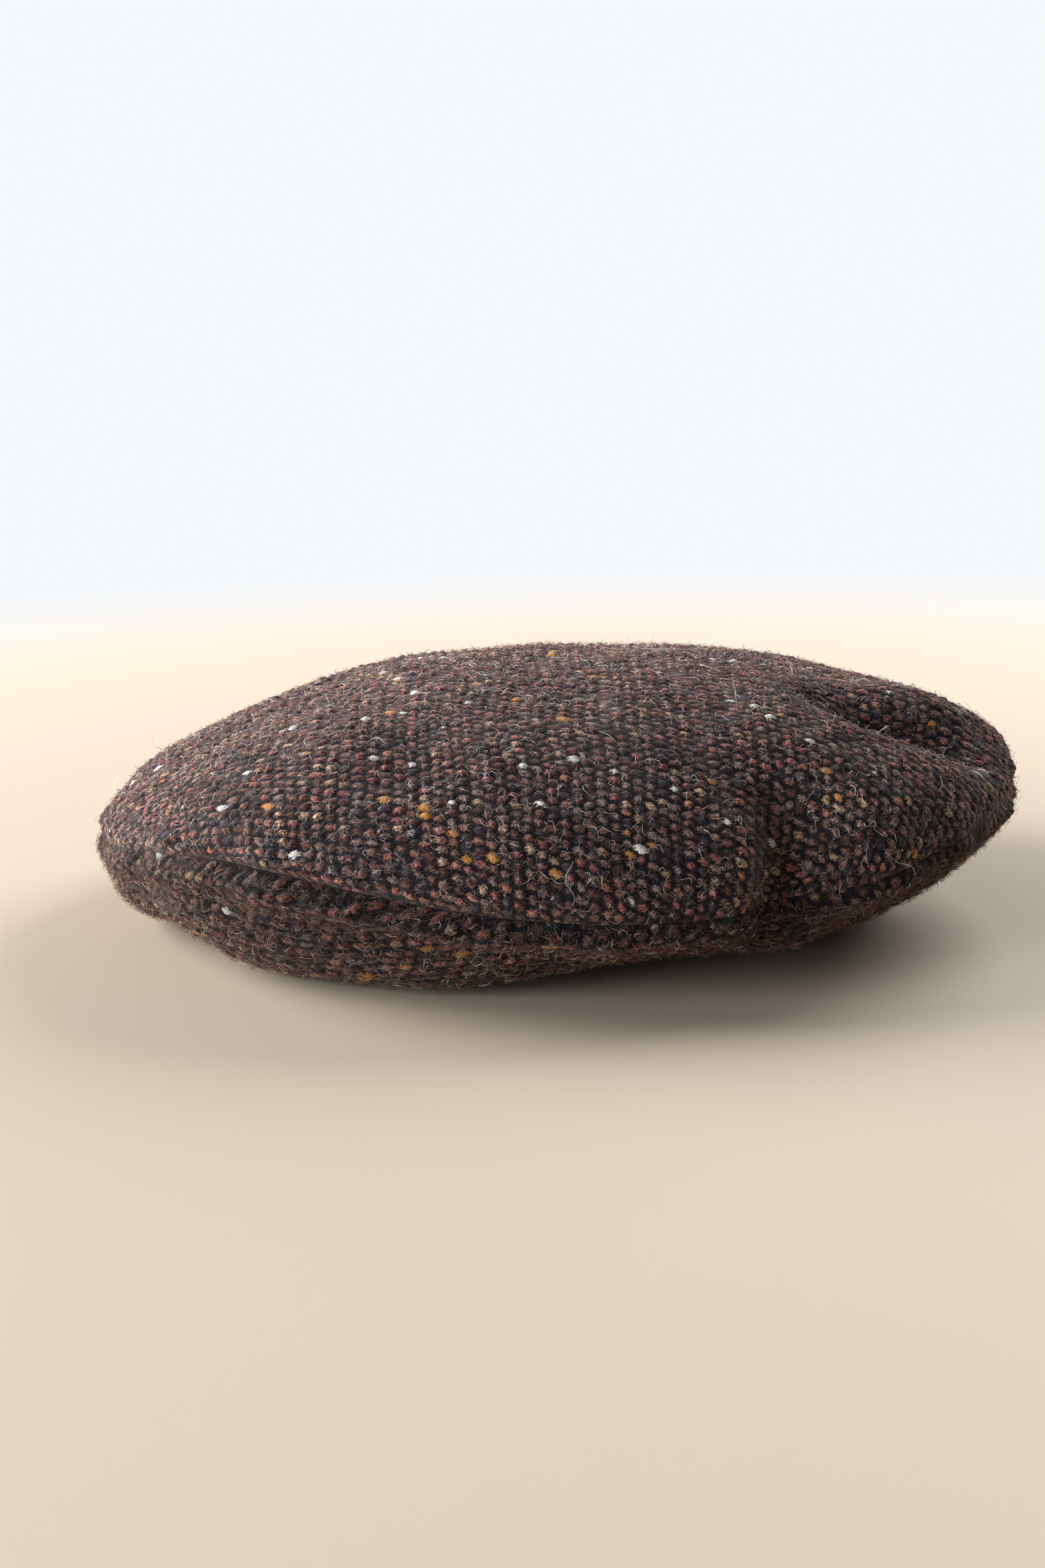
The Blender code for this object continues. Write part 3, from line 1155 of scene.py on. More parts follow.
class Effects:
    """Shader node groups that more than one finish uses, each built once."""

    def __init__(self, weave: TweedWeave) -> None:
        """Builds the groups.

        Args:
            weave: Sizes of the tweed.
        """
        self.tweed = self.tweed_cells(weave, TweedLook())
        self.threads = self.fine_threads()
        self.lint = self.lint_dust()

    @staticmethod
    def tweed_cells(weave: TweedWeave, look: TweedLook) -> bpy.types.NodeTree:
        """Colour and relief of the tweed, drawn in its cells.

        Args:
            weave: Sizes of the tweed.
            look: Its colours.

        Returns:
            The group.
        """
        g, given, taken = new_group(
            "tweed_cells",
            {"Cells": VECTOR, "Fuzz": VALUE, "Shade": VALUE},
            {"Color": COLOUR, "Height": VALUE, "Roughness": VALUE},
        )
        drawing = TweedDrawing(g, given["Cells"], weave, look)
        line, patch = drawing.strands()
        share = g.math("MULTIPLY", g.math("MULTIPLY", line, patch), given["Fuzz"])
        colour = g.mix(share, drawing.neps(drawing.yarns()), (*look.strand, 1.0))
        # The colour is scaled by the painted shade input, which makes darker copies of the same
        # tweed
        g.feed(taken["Color"], g.scaled(colour, given["Shade"]))
        height = g.math("MULTIPLY_ADD", drawing.fibre, 0.5, g.math("MULTIPLY", drawing.dome, 0.8))
        g.feed(taken["Height"], g.math("MULTIPLY_ADD", line, 0.15, height))
        g.feed(taken["Roughness"], g.span(drawing.fibre, 0.2, 0.8, 0.98, 0.86))
        return g.tree

    @staticmethod
    def fine_threads() -> bpy.types.NodeTree:
        """Fine regular threads of lining, band and sewing thread.

        Returns:
            The group.
        """
        g, given, taken = new_group(
            "fine_threads",
            {"Cloth": VECTOR, "Pitch": VALUE, "Slant": VALUE},
            {"Thread": VALUE, "Height": VALUE},
        )
        parts = g.add("ShaderNodeSeparateXYZ", {"Vector": given["Cloth"]})
        x = g.math("DIVIDE", parts.outputs["X"], given["Pitch"])
        y = g.math("DIVIDE", parts.outputs["Y"], given["Pitch"])
        lean = g.math("ADD", x, g.math("MULTIPLY", y, given["Slant"]))
        wave = g.math("SINE", g.math("MULTIPLY", lean, FULL_TURN))
        cross = g.math("SINE", g.math("MULTIPLY", y, FULL_TURN))
        thread = g.math("MULTIPLY_ADD", wave, 0.35, 0.5)
        stretched = g.vector(g.math("MULTIPLY", x, 0.15), g.math("MULTIPLY", y, 0.8))
        uneven = g.math("MULTIPLY", g.noise(stretched, 1.0, 3.0), 0.5)
        g.feed(taken["Thread"], g.math("ADD", g.math("MULTIPLY", thread, 0.6), uneven))
        g.feed(taken["Height"], g.math("ADD", thread, g.math("MULTIPLY", cross, 0.2)))
        return g.tree

    @staticmethod
    def lint_dust() -> bpy.types.NodeTree:
        """Specks of lint and a faint uneven fading, laid over a colour.

        Returns:
            The group.
        """
        g, given, taken = new_group(
            "lint_dust",
            {"Color": COLOUR, "Place": VECTOR, "Amount": VALUE},
            {"Color": COLOUR},
        )
        speck = g.span(g.noise(given["Place"], 900.0, 1.0), 0.72, 0.8)
        cloud = g.span(g.noise(given["Place"], 22.0, 4.0), 0.3, 0.75)
        fade = g.math("ADD", g.math("MULTIPLY", cloud, 0.5), speck)
        fade = g.math("MULTIPLY", fade, given["Amount"])
        g.feed(taken["Color"], g.mix(fade, given["Color"], (0.36, 0.32, 0.30, 1.0)))
        return g.tree


# Finishes


def start_material(name: str) -> tuple[Graph, bpy.types.Node, Material]:
    """New material with its shader.

    Args:
        name: Name of the material.

    Returns:
        Its graph, its shader node and the material.
    """
    made = bpy.data.materials.new(name)
    made.use_nodes = True
    return Graph(made.node_tree), made.node_tree.nodes["Principled BSDF"], made


@dataclass(frozen=True)
class TweedFinish:
    """Coarse flecked wool tweed, with the strength, roughness and colour of its sheen."""

    name: str
    fuzz: float = 0.75
    # Scale of the whole colour: painted shade, below 1 for a darker copy of the same cloth
    shade: float = 1.0
    lint: float = 0.012
    bump: float = 0.0005
    gloss: float = 0.1
    sheen: tuple[float, float, Colour] = (0.22, 0.35, (1.0, 0.8, 0.72))

    def material(self, effects: Effects) -> Material:
        """Makes the material.

        Args:
            effects: Shared node groups.

        Returns:
            The material.
        """
        graph, shader, made = start_material(self.name)
        cells = graph.add("ShaderNodeUVMap", uv_map=WEAVE_MAP).outputs["UV"]
        spot = graph.add("ShaderNodeTexCoord").outputs["Object"]
        values = {"Cells": cells, "Fuzz": self.fuzz, "Shade": self.shade}
        tweed = graph.group(effects.tweed, values)
        values = {"Color": tweed["Color"], "Place": spot, "Amount": self.lint}
        graph.feed(shader.inputs["Base Color"], graph.group(effects.lint, values)["Color"])
        graph.feed(shader.inputs["Roughness"], tweed["Roughness"])
        graph.feed(shader.inputs["Normal"], graph.bump(tweed["Height"], self.bump, 0.7))
        shader.inputs["Specular IOR Level"].default_value = self.gloss
        weight, roughness, tint = self.sheen
        shader.inputs["Sheen Weight"].default_value = weight
        shader.inputs["Sheen Roughness"].default_value = roughness
        shader.inputs["Sheen Tint"].default_value = (*tint, 1.0)
        return made


@dataclass(frozen=True)
class ThreadFinish:
    """Smooth woven cloth or sewing thread, with the colours between and on its threads."""

    name: str
    low: Colour
    high: Colour
    pitch: float
    slant: float
    roughness: float
    bump: float
    lint: float = 0.06
    sheen: tuple[float, float] = (0.1, 0.4)

    def material(self, effects: Effects) -> Material:
        """Makes the material.

        Args:
            effects: Shared node groups.

        Returns:
            The material.
        """
        graph, shader, made = start_material(self.name)
        place = graph.add("ShaderNodeUVMap", uv_map=WEAVE_MAP).outputs["UV"]
        spot = graph.add("ShaderNodeTexCoord").outputs["Object"]
        values = {"Cloth": place, "Pitch": self.pitch, "Slant": self.slant}
        cloth = graph.group(effects.threads, values)
        thread = cloth["Thread"]
        colour = graph.mix(thread, (*self.low, 1.0), (*self.high, 1.0))
        values = {"Color": colour, "Place": spot, "Amount": self.lint}
        graph.feed(shader.inputs["Base Color"], graph.group(effects.lint, values)["Color"])
        rough = graph.span(thread, 0.0, 1.0, self.roughness + 0.12, self.roughness - 0.08)
        graph.feed(shader.inputs["Roughness"], rough)
        graph.feed(shader.inputs["Normal"], graph.bump(cloth["Height"], self.bump, 0.6))
        weight, roughness = self.sheen
        shader.inputs["Sheen Weight"].default_value = weight
        shader.inputs["Sheen Roughness"].default_value = roughness
        return made


@dataclass(frozen=True)
class FibreFinish:
    """Loose wool fibres, each of its own colour, with painted shade that darkens them toward the
    root.
    """

    name: str
    stops: Stops
    # Brightness at the root: painted shade where the fibre meets the cloth
    root: float = 0.55
    gloss: float = 0.2

    def material(self) -> Material:
        """Makes the material.

        Returns:
            The material.
        """
        graph, shader, made = start_material(self.name)
        place = graph.add("ShaderNodeUVMap", uv_map=STRAND_MAP).outputs["UV"]
        parts = graph.add("ShaderNodeSeparateXYZ", {"Vector": place}).outputs
        colour = graph.ramp(parts["X"], self.stops, stepped=True)
        # Painted shade: the fibre's colour darkens toward its root
        root = graph.span(parts["Y"], 0.0, 0.5, self.root, 1.0)
        graph.feed(shader.inputs["Base Color"], graph.scaled(colour, root))
        graph.feed(shader.inputs["Roughness"], graph.span(parts["Y"], 0.0, 1.0, 0.8, 0.6))
        shader.inputs["Specular IOR Level"].default_value = self.gloss
        return made


@dataclass(frozen=True)
class BoardFinish:
    """Moulded sheet inside the visor, with a fine pebbled face."""

    name: str
    colour: Colour = (0.62, 0.6, 0.56)
    patch: Colour = (0.52, 0.49, 0.44)
    lint: float = 0.1
    bump: float = 0.0001

    def material(self, effects: Effects) -> Material:
        """Makes the material.

        Args:
            effects: Shared node groups.

        Returns:
            The material.
        """
        graph, shader, made = start_material(self.name)
        spot = graph.add("ShaderNodeTexCoord").outputs["Object"]
        pebble = graph.noise(spot, 1400.0, 3.0)
        colour = graph.mix(graph.noise(spot, 60.0, 3.0), (*self.colour, 1.0), (*self.patch, 1.0))
        values = {"Color": colour, "Place": spot, "Amount": self.lint}
        graph.feed(shader.inputs["Base Color"], graph.group(effects.lint, values)["Color"])
        graph.feed(shader.inputs["Roughness"], graph.span(pebble, 0.3, 0.7, 0.65, 0.5))
        graph.feed(shader.inputs["Normal"], graph.bump(pebble, self.bump, 0.5))
        return made


LOOSE_WOOL: Stops = (
    (0.0, (0.78, 0.61, 0.52)),
    (0.22, (0.55, 0.34, 0.27)),
    (0.42, (0.30, 0.15, 0.112)),
    (0.60, (0.92, 0.90, 0.86)),
    (0.75, (0.045, 0.04, 0.045)),
)
# Loose wool of the side panels: browner, and about half as bright, partly as painted shade of the
# underside
BROWN_WOOL: Stops = (
    (0.0, (0.44, 0.28, 0.22)),
    (0.28, (0.28, 0.15, 0.112)),
    (0.52, (0.17, 0.08, 0.058)),
    (0.78, (0.85, 0.76, 0.67)),
    (0.85, (0.045, 0.04, 0.045)),
)
PALE_HAIR: Stops = ((0.0, (0.92, 0.89, 0.84)), (0.7, (0.72, 0.62, 0.54)))


class Finishes:
    """Materials of the cap, each made once."""

    def __init__(self, effects: Effects) -> None:
        """Makes the materials.

        Args:
            effects: Shared node groups.
        """
        self.tweed = TweedFinish("tweed_shell").material(effects)
        # The panels' tweed is the same cloth darkened: painted shade of the underside beneath the
        # crown
        self.panel_tweed = TweedFinish("tweed_panels", fuzz=0.8, shade=0.45).material(effects)
        self.visor_tweed = TweedFinish("tweed_visor", fuzz=0.45).material(effects)
        self.satin = ThreadFinish(
            "satin_lining", low=(0.030, 0.025, 0.024), high=(0.075, 0.062, 0.057),
            pitch=0.00035, slant=0.0, roughness=0.36, bump=0.00004,
        ).material(effects)
        self.twill = ThreadFinish(
            "twill_band", low=(0.014, 0.013, 0.014), high=(0.05, 0.046, 0.047),
            pitch=0.0009, slant=1.0, roughness=0.7, bump=0.00012,
        ).material(effects)
        self.thread = ThreadFinish(
            "sewing_thread", low=(0.05, 0.028, 0.02), high=(0.13, 0.075, 0.052),
            pitch=0.0006, slant=0.6, roughness=0.6, bump=0.00005,
        ).material(effects)
        self.wool = FibreFinish("loose_wool", LOOSE_WOOL).material()
        self.brown_wool = FibreFinish("brown_wool", BROWN_WOOL).material()
        self.pale_hair = FibreFinish("pale_hair", PALE_HAIR).material()
        self.board = BoardFinish("moulded_board").material(effects)


# Pieces


@dataclass(frozen=True)
class Joining:
    """Settings of a blend of the front cloth between the cap and the visor that its hem is sewn to;
    no blend is made.

    Attributes:
        tilt: Angle of the blend below level; not used.
        start: Reach at which the cloth starts to follow the visor; not used.
        end: Reach from which it follows the visor wholly; not used.
    """

    tilt: float = math.radians(60.0)
    start: float = 0.024
    end: float = 0.038

    def apply(self, piece: Piece) -> None:
        """Bakes a piece's placement into its points; the piece is not bent.

        Args:
            piece: The piece.
        """
        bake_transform(piece)


def give_material(piece: Piece, material: Material) -> None:
    """Puts one material on a piece."""
    piece.data.materials.clear()
    piece.data.materials.append(material)


def dress(piece: Piece, material: Material) -> None:
    """Gives a piece its material."""
    give_material(piece, material)


def cloth_area(points: Array, closed: bool) -> float:
    """Area of a grid of cloth points.

    Args:
        points: The points, shaped (rows, columns, 3).
        closed: Whether the last column meets the first.

    Returns:
        The area in square metres.
    """
    beside = np.roll(points, -1, axis=1) if closed else points[:, 1:]
    here = points if closed else points[:, :-1]
    first = np.cross(beside[:-1] - here[:-1], beside[1:] - here[:-1])
    second = np.cross(beside[1:] - here[:-1], here[1:] - here[:-1])
    total = np.linalg.norm(first, axis=-1) + np.linalg.norm(second, axis=-1)
    return float(total.sum() / 2.0)


@dataclass(frozen=True)
class Cut:
    """Flat piece that a sheet of cloth was cut to.

    Attributes:
        size: Width and length of the piece laid flat, in metres.
        area: Its area in square metres.
    """

    size: tuple[float, float]
    area: float


def cut_of(surface: Surface, weave: TweedWeave, closed: bool) -> Cut:
    """Cut of a sheet whose place in the cloth is known.

    Args:
        surface: Face of the sheet.
        weave: Weave whose cells the surface counts.
        closed: Whether its last column meets the first.

    Returns:
        The cut.
    """
    flat = surface.cells.reshape(-1, 2) * np.array((weave.column, weave.row))
    width, length = np.ptp(flat, axis=0)
    return Cut((float(width), float(length)), cloth_area(surface.points, closed))


@dataclass(frozen=True)
class Sheet:
    """Sheet of cloth as it was made.

    Attributes:
        piece: The piece.
        cut: What it was cut to.
        face: Its face, where loose wool lies on it.
    """

    piece: Piece
    cut: Cut
    face: Surface | None = None

    def declare(self, held: Held, rests_on: list[str], loose: list[Piece]) -> None:
        """Args:
            held: How it is held; not used.
            rests_on: Names of the pieces that it is sewn to; not used.
            loose: Pieces that lie on it; not used.
        """
        piece, cut = self.piece, self.cut
        width, length = (size / MM for size in cut.size)
        log.info("%s: cut %.0f x %.0f mm, %.0f sq cm", piece.name, width, length, cut.area / SQ_CM)


@dataclass(frozen=True)
class Seam:
    """Sewn groove at an edge where two pieces meet, in metres."""

    # Groove, and the ridge that the turned-in cloth makes behind it
    depth: float = 0.0032
    width: float = 0.0017
    ridge: float = 0.0008
    ridge_off: float = 0.0055
    ridge_width: float = 0.0022
    # Puckers along the seam
    pucker: float = 0.0006
    pucker_run: tuple[float, float] = (0.009, 0.028)
    pucker_off: float = 0.006
    pucker_width: float = 0.009
    # Widths over which the lining draws in and the cloth moves level
    draw: float = 0.008
    hold: float = 0.008

    def inset(self, away: Array) -> Array:
        """Shift outwards at a distance from the seam, below 0 in the groove."""
        ridge = self.ridge * bell(away - self.ridge_off, self.ridge_width)
        return ridge - self.depth * bell(away, self.width)

    def slope(self, away: Array) -> Array:
        """Shift of the layer behind the groove, which draws in more gently."""
        return -self.depth * bell(away, self.draw)

    def level(self, normals: Array, outward: Array, away: Array) -> Array:
        """Normals turned level near the seam, so that both sides of it move alike."""
        hold = ease(0.0, self.hold, away)[..., None]
        return unit(normals * hold + outward * (1.0 - hold))

    def puckers(self, around: Array, away: Array) -> Array:
        """Shift outwards of the small waves that run into the seam."""
        wave = Ripple(Seed.PUCKERS, *self.pucker_run)(around, np.zeros_like(around))
        return self.pucker * wave * bell(away - self.pucker_off, self.pucker_width)


def tubes(line: Array, above: Array, beside: Array, ring: Array, thick: Array) -> Array:
    """Points in rings round lines, which are given with two directions across them."""
    spin = np.cos(ring)[:, None] * above[:, :, None] + np.sin(ring)[:, None] * beside[:, :, None]
    return line[:, :, None] + spin * thick[..., None, None]


@dataclass(frozen=True)
class StitchRow:
    """Row of sewing stitches."""

    # Spacing, length, radius, and rise of a stitch in radii
    pitch: float = 0.0034
    length: float = 0.0026
    radius: float = 0.00028
    arch: float = 1.4
    sides: int = 6
    steps: int = 7

    def build(self, name: str, paths: list[tuple[Array, Array]]) -> Piece:
        """Makes the stitches of several lines as one piece.

        Args:
            name: Name of the piece.
            paths: Points and normals of each line.

        Returns:
            The piece.
        """
        maker = MeshMaker()
        share = np.linspace(-0.5, 0.5, self.steps)
        lift = (1.0 - (2.0 * share) ** 4) * self.radius * self.arch - self.radius
        thick = self.radius * np.sqrt(np.clip(1.05 - (2.0 * share) ** 6, 0.05, 1.0))
        ring = np.linspace(0.0, FULL_TURN, self.sides, endpoint=False)
        for points, normals in paths:
            at = np.append(0.0, np.cumsum(np.linalg.norm(np.diff(points, axis=0), axis=1)))
            centres = np.arange(self.pitch / 2.0, at[-1] - self.length / 2.0, self.pitch)
            where = centres[:, None] + share[None, :] * self.length
            line = along_line(where, at, points)
            up = unit(along_line(where, at, normals))
            beside = unit(np.cross(np.gradient(line, axis=1), up))
            tube = tubes(line + up * lift[None, :, None], up, beside, ring, thick[None, :])
            flat = np.stack(np.broadcast_arrays(where[:, :, None], ring * self.radius), -1)
            for stitch, place in zip(tube, flat):
                grid = maker.add_points(stitch, place)
                maker.add_faces(quads(grid, True))
                for end in (grid[0][::-1], grid[-1]):
                    maker.add_faces(end[None, :])
        return maker.make(name)


@dataclass(frozen=True)
class Fuzz:
    """Loose wool fibres that lie on the cloth or stand off it."""

    seed: Seed
    # Lengths, and heights of lying fibres over the cloth
    shortest: float = 0.002
    longest: float = 0.006
    lift: float = 0.0008
    # Share that stands off the cloth
    standing: float = 0.35
    radius: float = 0.000055
    # Turn of a lying fibre along its length, in radians
    curl: float = 3.8
    # Segments, lowest root, and least heights over the ground and over the cloth
    steps: int = 6
    lowest: float = 0.003
    ground: float = 0.0002
    root: float = 0.00005

    def roots(
        self, draw: np.random.Generator, surface: Surface, count: int, rows: Array
    ) -> Array:
        """Draws the points that the fibres grow from, even over the area of the cloth.

        Args:
            draw: Source of the random numbers.
            surface: Face of the cloth.
            count: Number of fibres.
            rows: Share of the fibres that each row of the surface carries.

        Returns:
            Numbers of the points.
        """
        points = surface.points
        across = np.linalg.norm(np.gradient(points, axis=1), axis=-1)
        along = np.linalg.norm(np.gradient(points, axis=0), axis=-1)
        weight = (across * along * rows[:, None] * (points[..., 2] > self.lowest)).ravel()
        return draw.choice(len(weight), count, p=weight / weight.sum())

    def lines(self, draw: np.random.Generator, start: Array, up: Array, share: Array) -> Array:
        """Draws the middle lines of the fibres.

        Args:
            draw: Source of the random numbers.
            start: Points that the fibres grow from.
            up: Normals of the cloth there.
            share: Places along a fibre, from 0 to 1.

        Returns:
            Points shaped (fibres, places, 3).
        """
        count = len(start)
        first = unit(np.cross(up, unit(draw.normal(size=(count, 3)))))
        second = np.cross(up, first)
        length = self.shortest + (self.longest - self.shortest) * draw.random(count) ** 2
        stands = draw.random(count) < self.standing
        length = np.where(stands, length * 0.5, length)
        bend = draw.normal(0.0, 1.0, count) * np.where(stands, 1.2, self.curl)
        wiggle = draw.uniform(0.2, 0.9, count)[:, None]
        phase = draw.uniform(0.0, FULL_TURN, count)[:, None]
        heading = bend[:, None] * share + wiggle * np.sin(share * 7.0 + phase)
        step = (length / self.steps * np.where(stands, 0.55, 1.0))[:, None]
        go_first = np.cumsum(np.cos(heading) * step, axis=1)[..., None]
        go_second = np.cumsum(np.sin(heading) * step, axis=1)[..., None]
        lift = self.lift * draw.uniform(0.4, 1.6, count)[:, None]
        low = lift * np.sin(share * math.pi * 0.9)
        high = length[:, None] * 0.75 * share**0.8
        rise = (np.where(stands[:, None], high, low) + self.root)[..., None]
        line = start[:, None] + first[:, None] * go_first
        return line + second[:, None] * go_second + up[:, None] * rise

    def bake_places(self, count: int) -> Array:
        """Bake map of the fibres, each in a cell of its own.

        Args:
            count: Number of fibres.

        Returns:
            Places shaped (fibres, segments, sides, corners, 2).
        """
        side = math.ceil(math.sqrt(count))
        cell = np.stack([np.arange(count) % side, np.arange(count) // side], -1) / side
        rise = np.linspace(*FIBRE_ENDS, self.steps + 1)
        corner = np.empty((count, self.steps, 3, 4, 2))
        corner[..., 0] = np.array(FIBRE_SIDES + FIBRE_SIDES[::-1])
        corner[..., 0:2, 1] = rise[:-1][None, :, None, None]
        corner[..., 2:4, 1] = rise[1:][None, :, None, None]
        return cell[:, None, None, None] + corner / side

    def build(self, name: str, surface: Surface, count: int, rows: Array) -> Piece:
        """Scatters fibres over a surface.

        Args:
            name: Name of the piece.
            surface: Face of the cloth.
            count: Number of fibres.
            rows: Share of the fibres that each row of the surface carries.

        Returns:
            The piece.
        """
        draw = np.random.default_rng(int(self.seed))
        roots = self.roots(draw, surface, count, rows)
        start, up = surface.points.reshape(-1, 3)[roots], surface.normals.reshape(-1, 3)[roots]
        share = np.linspace(0.0, 1.0, self.steps + 1)[None, :]
        line = self.lines(draw, start, up, share)
        ahead = unit(np.gradient(line, axis=1))
        aside = unit(np.cross(ahead, up[:, None]))
        above = np.cross(aside, ahead)
        thick = self.radius * draw.uniform(0.7, 1.25, count)[:, None]
        ring = np.array((0.0, 2.0, 4.0)) * math.pi / 3.0
        tube = tubes(line, above, aside, ring, thick * (1.0 - 0.55 * share**2))
        tube[..., 2] = np.maximum(tube[..., 2], self.ground)
        own = np.broadcast_to(draw.random(count)[:, None, None], tube.shape[:-1])
        place = np.stack([own, np.broadcast_to(share[..., None], tube.shape[:-1])], -1)
        maker = MeshMaker(STRAND_MAP)
        numbers = maker.add_points(tube, place)
        beside = np.roll(numbers, -1, axis=2)
        faces = np.stack([numbers[:, :-1], beside[:, :-1], beside[:, 1:], numbers[:, 1:]], -1)
        maker.add_faces(faces.reshape(-1, 4), self.bake_places(count).reshape(-1, 4, 2))
        return maker.make(name)


def seam_wool(free: Array) -> Array:
    """Share of the fibres that each row carries, with a few left along the seam."""
    return SEAM_WOOL + (1.0 - SEAM_WOOL) * free


@dataclass
class CrownTop:
    """Round one-piece top of the cap."""

    form: CapForm
    weave: TweedWeave
    name: str = "crown_top_tweed"
    # Points round and to the middle, where they halve, and steps of the back
    around: int = 1152
    rings: int = 220
    thickness: float = 0.0017
    halvings: tuple[float, ...] = (0.5, 0.75, 0.875, 0.94)
    back_step: tuple[int, int] = (10, 8)
    wave: float = 0.0003
    wave_run: tuple[float, float] = (0.035, 0.09)
    wave_from: float = 0.02
    # Rim: strip without relief, and sewn groove
    smooth_rim: float = 0.02
    seam: Seam = Seam()
    # Loose wool, and where it sets in
    fibres: int = 11000
    hairs: int = 50
    bare_rim: tuple[float, float] = (0.006, 0.022)

    def surface(self, around: int, rings: int, sewn: bool = True) -> Surface:
        """Outer face of the crown.

        Args:
            around: Points round it.
            rings: Rings from the rim to the middle.
            sewn: Whether the groove and puckers of the rim seam are on it.

        Returns:
            The surface, with its rim in the first row.
        """
        form, seam = self.form, self.seam
        angle = np.linspace(0.0, FULL_TURN, around, endpoint=False)
        points, length = resample(form.meridians(angle), rings + 1)
        points = points.transpose(1, 0, 2)
        away = np.linspace(0.0, 1.0, rings + 1)[:, None] * length[None, :]
        outward = form.rim_outward(angle)[None, :, :]
        run = (angle * (form.rim_width + form.rim_length) / 4.0)[None, :]
        if sewn:
            shift = seam.inset(away) * form.seam_share(angle) + seam.puckers(run, away)
        else:
            shift = seam.slope(away)
        points = points + outward * shift[..., None]
        soft = Ripple(Seed.CROWN_WAVES, *self.wave_run)(points[..., 0], points[..., 1])
        wave = self.wave * soft * ease(0.0, self.wave_from, away)
        points = points + self.turned(points) * wave[..., None]
        points = form.press(points, seam.level(self.turned(points), outward, away))
        rim = form.rim(angle)
        heading = np.arctan2(rim[:, 1] - form.rim_centre[1], rim[:, 0] - form.rim_centre[0])
        reach = length[None, :] - away
        cells = self.weave.cells(reach * np.cos(heading), reach * np.sin(heading))
        return Surface(points, self.turned(points), cells)

    @staticmethod
    def turned(points: Array) -> Array:
        """Normals of the crown's grid, upright at its middle.

        Args:
            points: Points of the grid, with the middle in the last row.

        Returns:
            A unit vector for each point.
        """
        normals = grid_normals(points, True)
        normals[-1] = UP
        return normals

    def build(self) -> Sheet:
        """Makes the tweed of the crown.

        Returns:
            The sheet.
        """
        surface = self.surface(self.around, self.rings)
        flat = np.linspace(0.0, 1.0, self.rings + 1)
        level = sum((flat >= share).astype(int) for share in self.halvings)
        edge = ease(0.0, self.smooth_rim, flat)[:, None]
        raised = surface.raised(self.weave.height(surface.cells) * edge)
        heading = np.linspace(0.0, FULL_TURN, self.around, endpoint=False)
        disc = np.stack([np.cos(heading), np.sin(heading)], -1)[None] * (1.0 - flat)[:, None, None]
        face_disc = FACE_DISC[0] + FACE_DISC[1] * disc
        back_disc = BACK_DISC[0] + BACK_DISC[1] * disc

        maker = MeshMaker()
        rows = []
        bake = []
        for ring in range(self.rings):
            step = 2 ** int(level[ring])
            rows.append(maker.add_points(raised[ring, ::step], surface.cells[ring, ::step]))
            bake.append(face_disc[ring, ::step])
        pole = maker.add_points(raised[-1, :1], surface.cells[-1, :1])
        bake.append(face_disc[-1, :1])
        inner = surface.points - surface.normals * self.thickness
        along, round_it = self.back_step
        sparse = (slice(None, -1, along), slice(None, None, round_it))
        inner_rows = maker.add_points(inner[sparse], surface.cells[sparse])
        inner_pole = maker.add_points(inner[-1, :1], surface.cells[-1, :1])
        bake.append(back_disc[sparse].reshape(-1, 2))
        bake.append(back_disc[-1, :1])
        place = np.concatenate(bake)

        for outer_row, next_row in zip(rows, rows[1:]):
            for faces in self.between(outer_row, next_row):
                maker.add_faces(faces, place[faces])
        cap = self.fan(rows[-1], pole[0])
        maker.add_faces(cap, place[cap])
        for faces in (quads(inner_rows, True), self.fan(inner_rows[-1], inner_pole[0])):
            faces = faces[:, ::-1]
            maker.add_faces(faces, place[faces])
        close = bridge(np.append(rows[0], rows[0][0]), np.append(inner_rows[0], inner_rows[0][0]))
        maker.add_faces(close, self.edge_ring(len(close)))
        face = Surface(raised, surface.normals, surface.cells)
        return Sheet(maker.make(self.name), cut_of(surface, self.weave, True), face)

    @staticmethod
    def edge_ring(count: int) -> Array:
        """Bake map of the faces that close the rim, laid out as a ring.

        Args:
            count: Number of faces.

        Returns:
            Places shaped (faces, corners, 2).
        """
        ring = FULL_TURN * np.linspace(0.0, 1.0, count)[:, None]
        turned = ring + np.array((0.0, 0.0, FULL_TURN / count))[None, :]
        inside, outside = EDGE_RING
        radius = np.broadcast_to(np.array((inside, outside, outside)), turned.shape)
        x, y = EDGE_CENTRE
        return np.stack([x + radius * np.cos(turned), y + radius * np.sin(turned)], -1)

    @staticmethod
    def between(outer: Array, inner: Array) -> list[Array]:
        """Faces between two rings, of which the inner may have half the points.

        Args:
            outer: Numbers of the outer ring's points.
            inner: Numbers of the inner ring's points.

        Returns:
            The faces, in one array or three.
        """
        after = np.roll(inner, -1)
        if len(outer) == len(inner):
            return [np.stack([outer, np.roll(outer, -1), after, inner], -1)]
        start, middle = outer[::2], outer[1::2]
        end = np.roll(start, -1)
        return [
            np.stack([start, middle, inner], -1),
            np.stack([middle, after, inner], -1),
            np.stack([middle, end, after], -1),
        ]

    @staticmethod
    def fan(ring: Array, pole: int) -> Array:
        """Faces from a ring to its middle."""
        return np.stack([ring, np.roll(ring, -1), np.full(len(ring), pole)], -1)

    def hold(self, piece: Piece) -> None:
        """Lets a piece of the crown go with the cap."""
        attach(piece, Body.CAP.value)

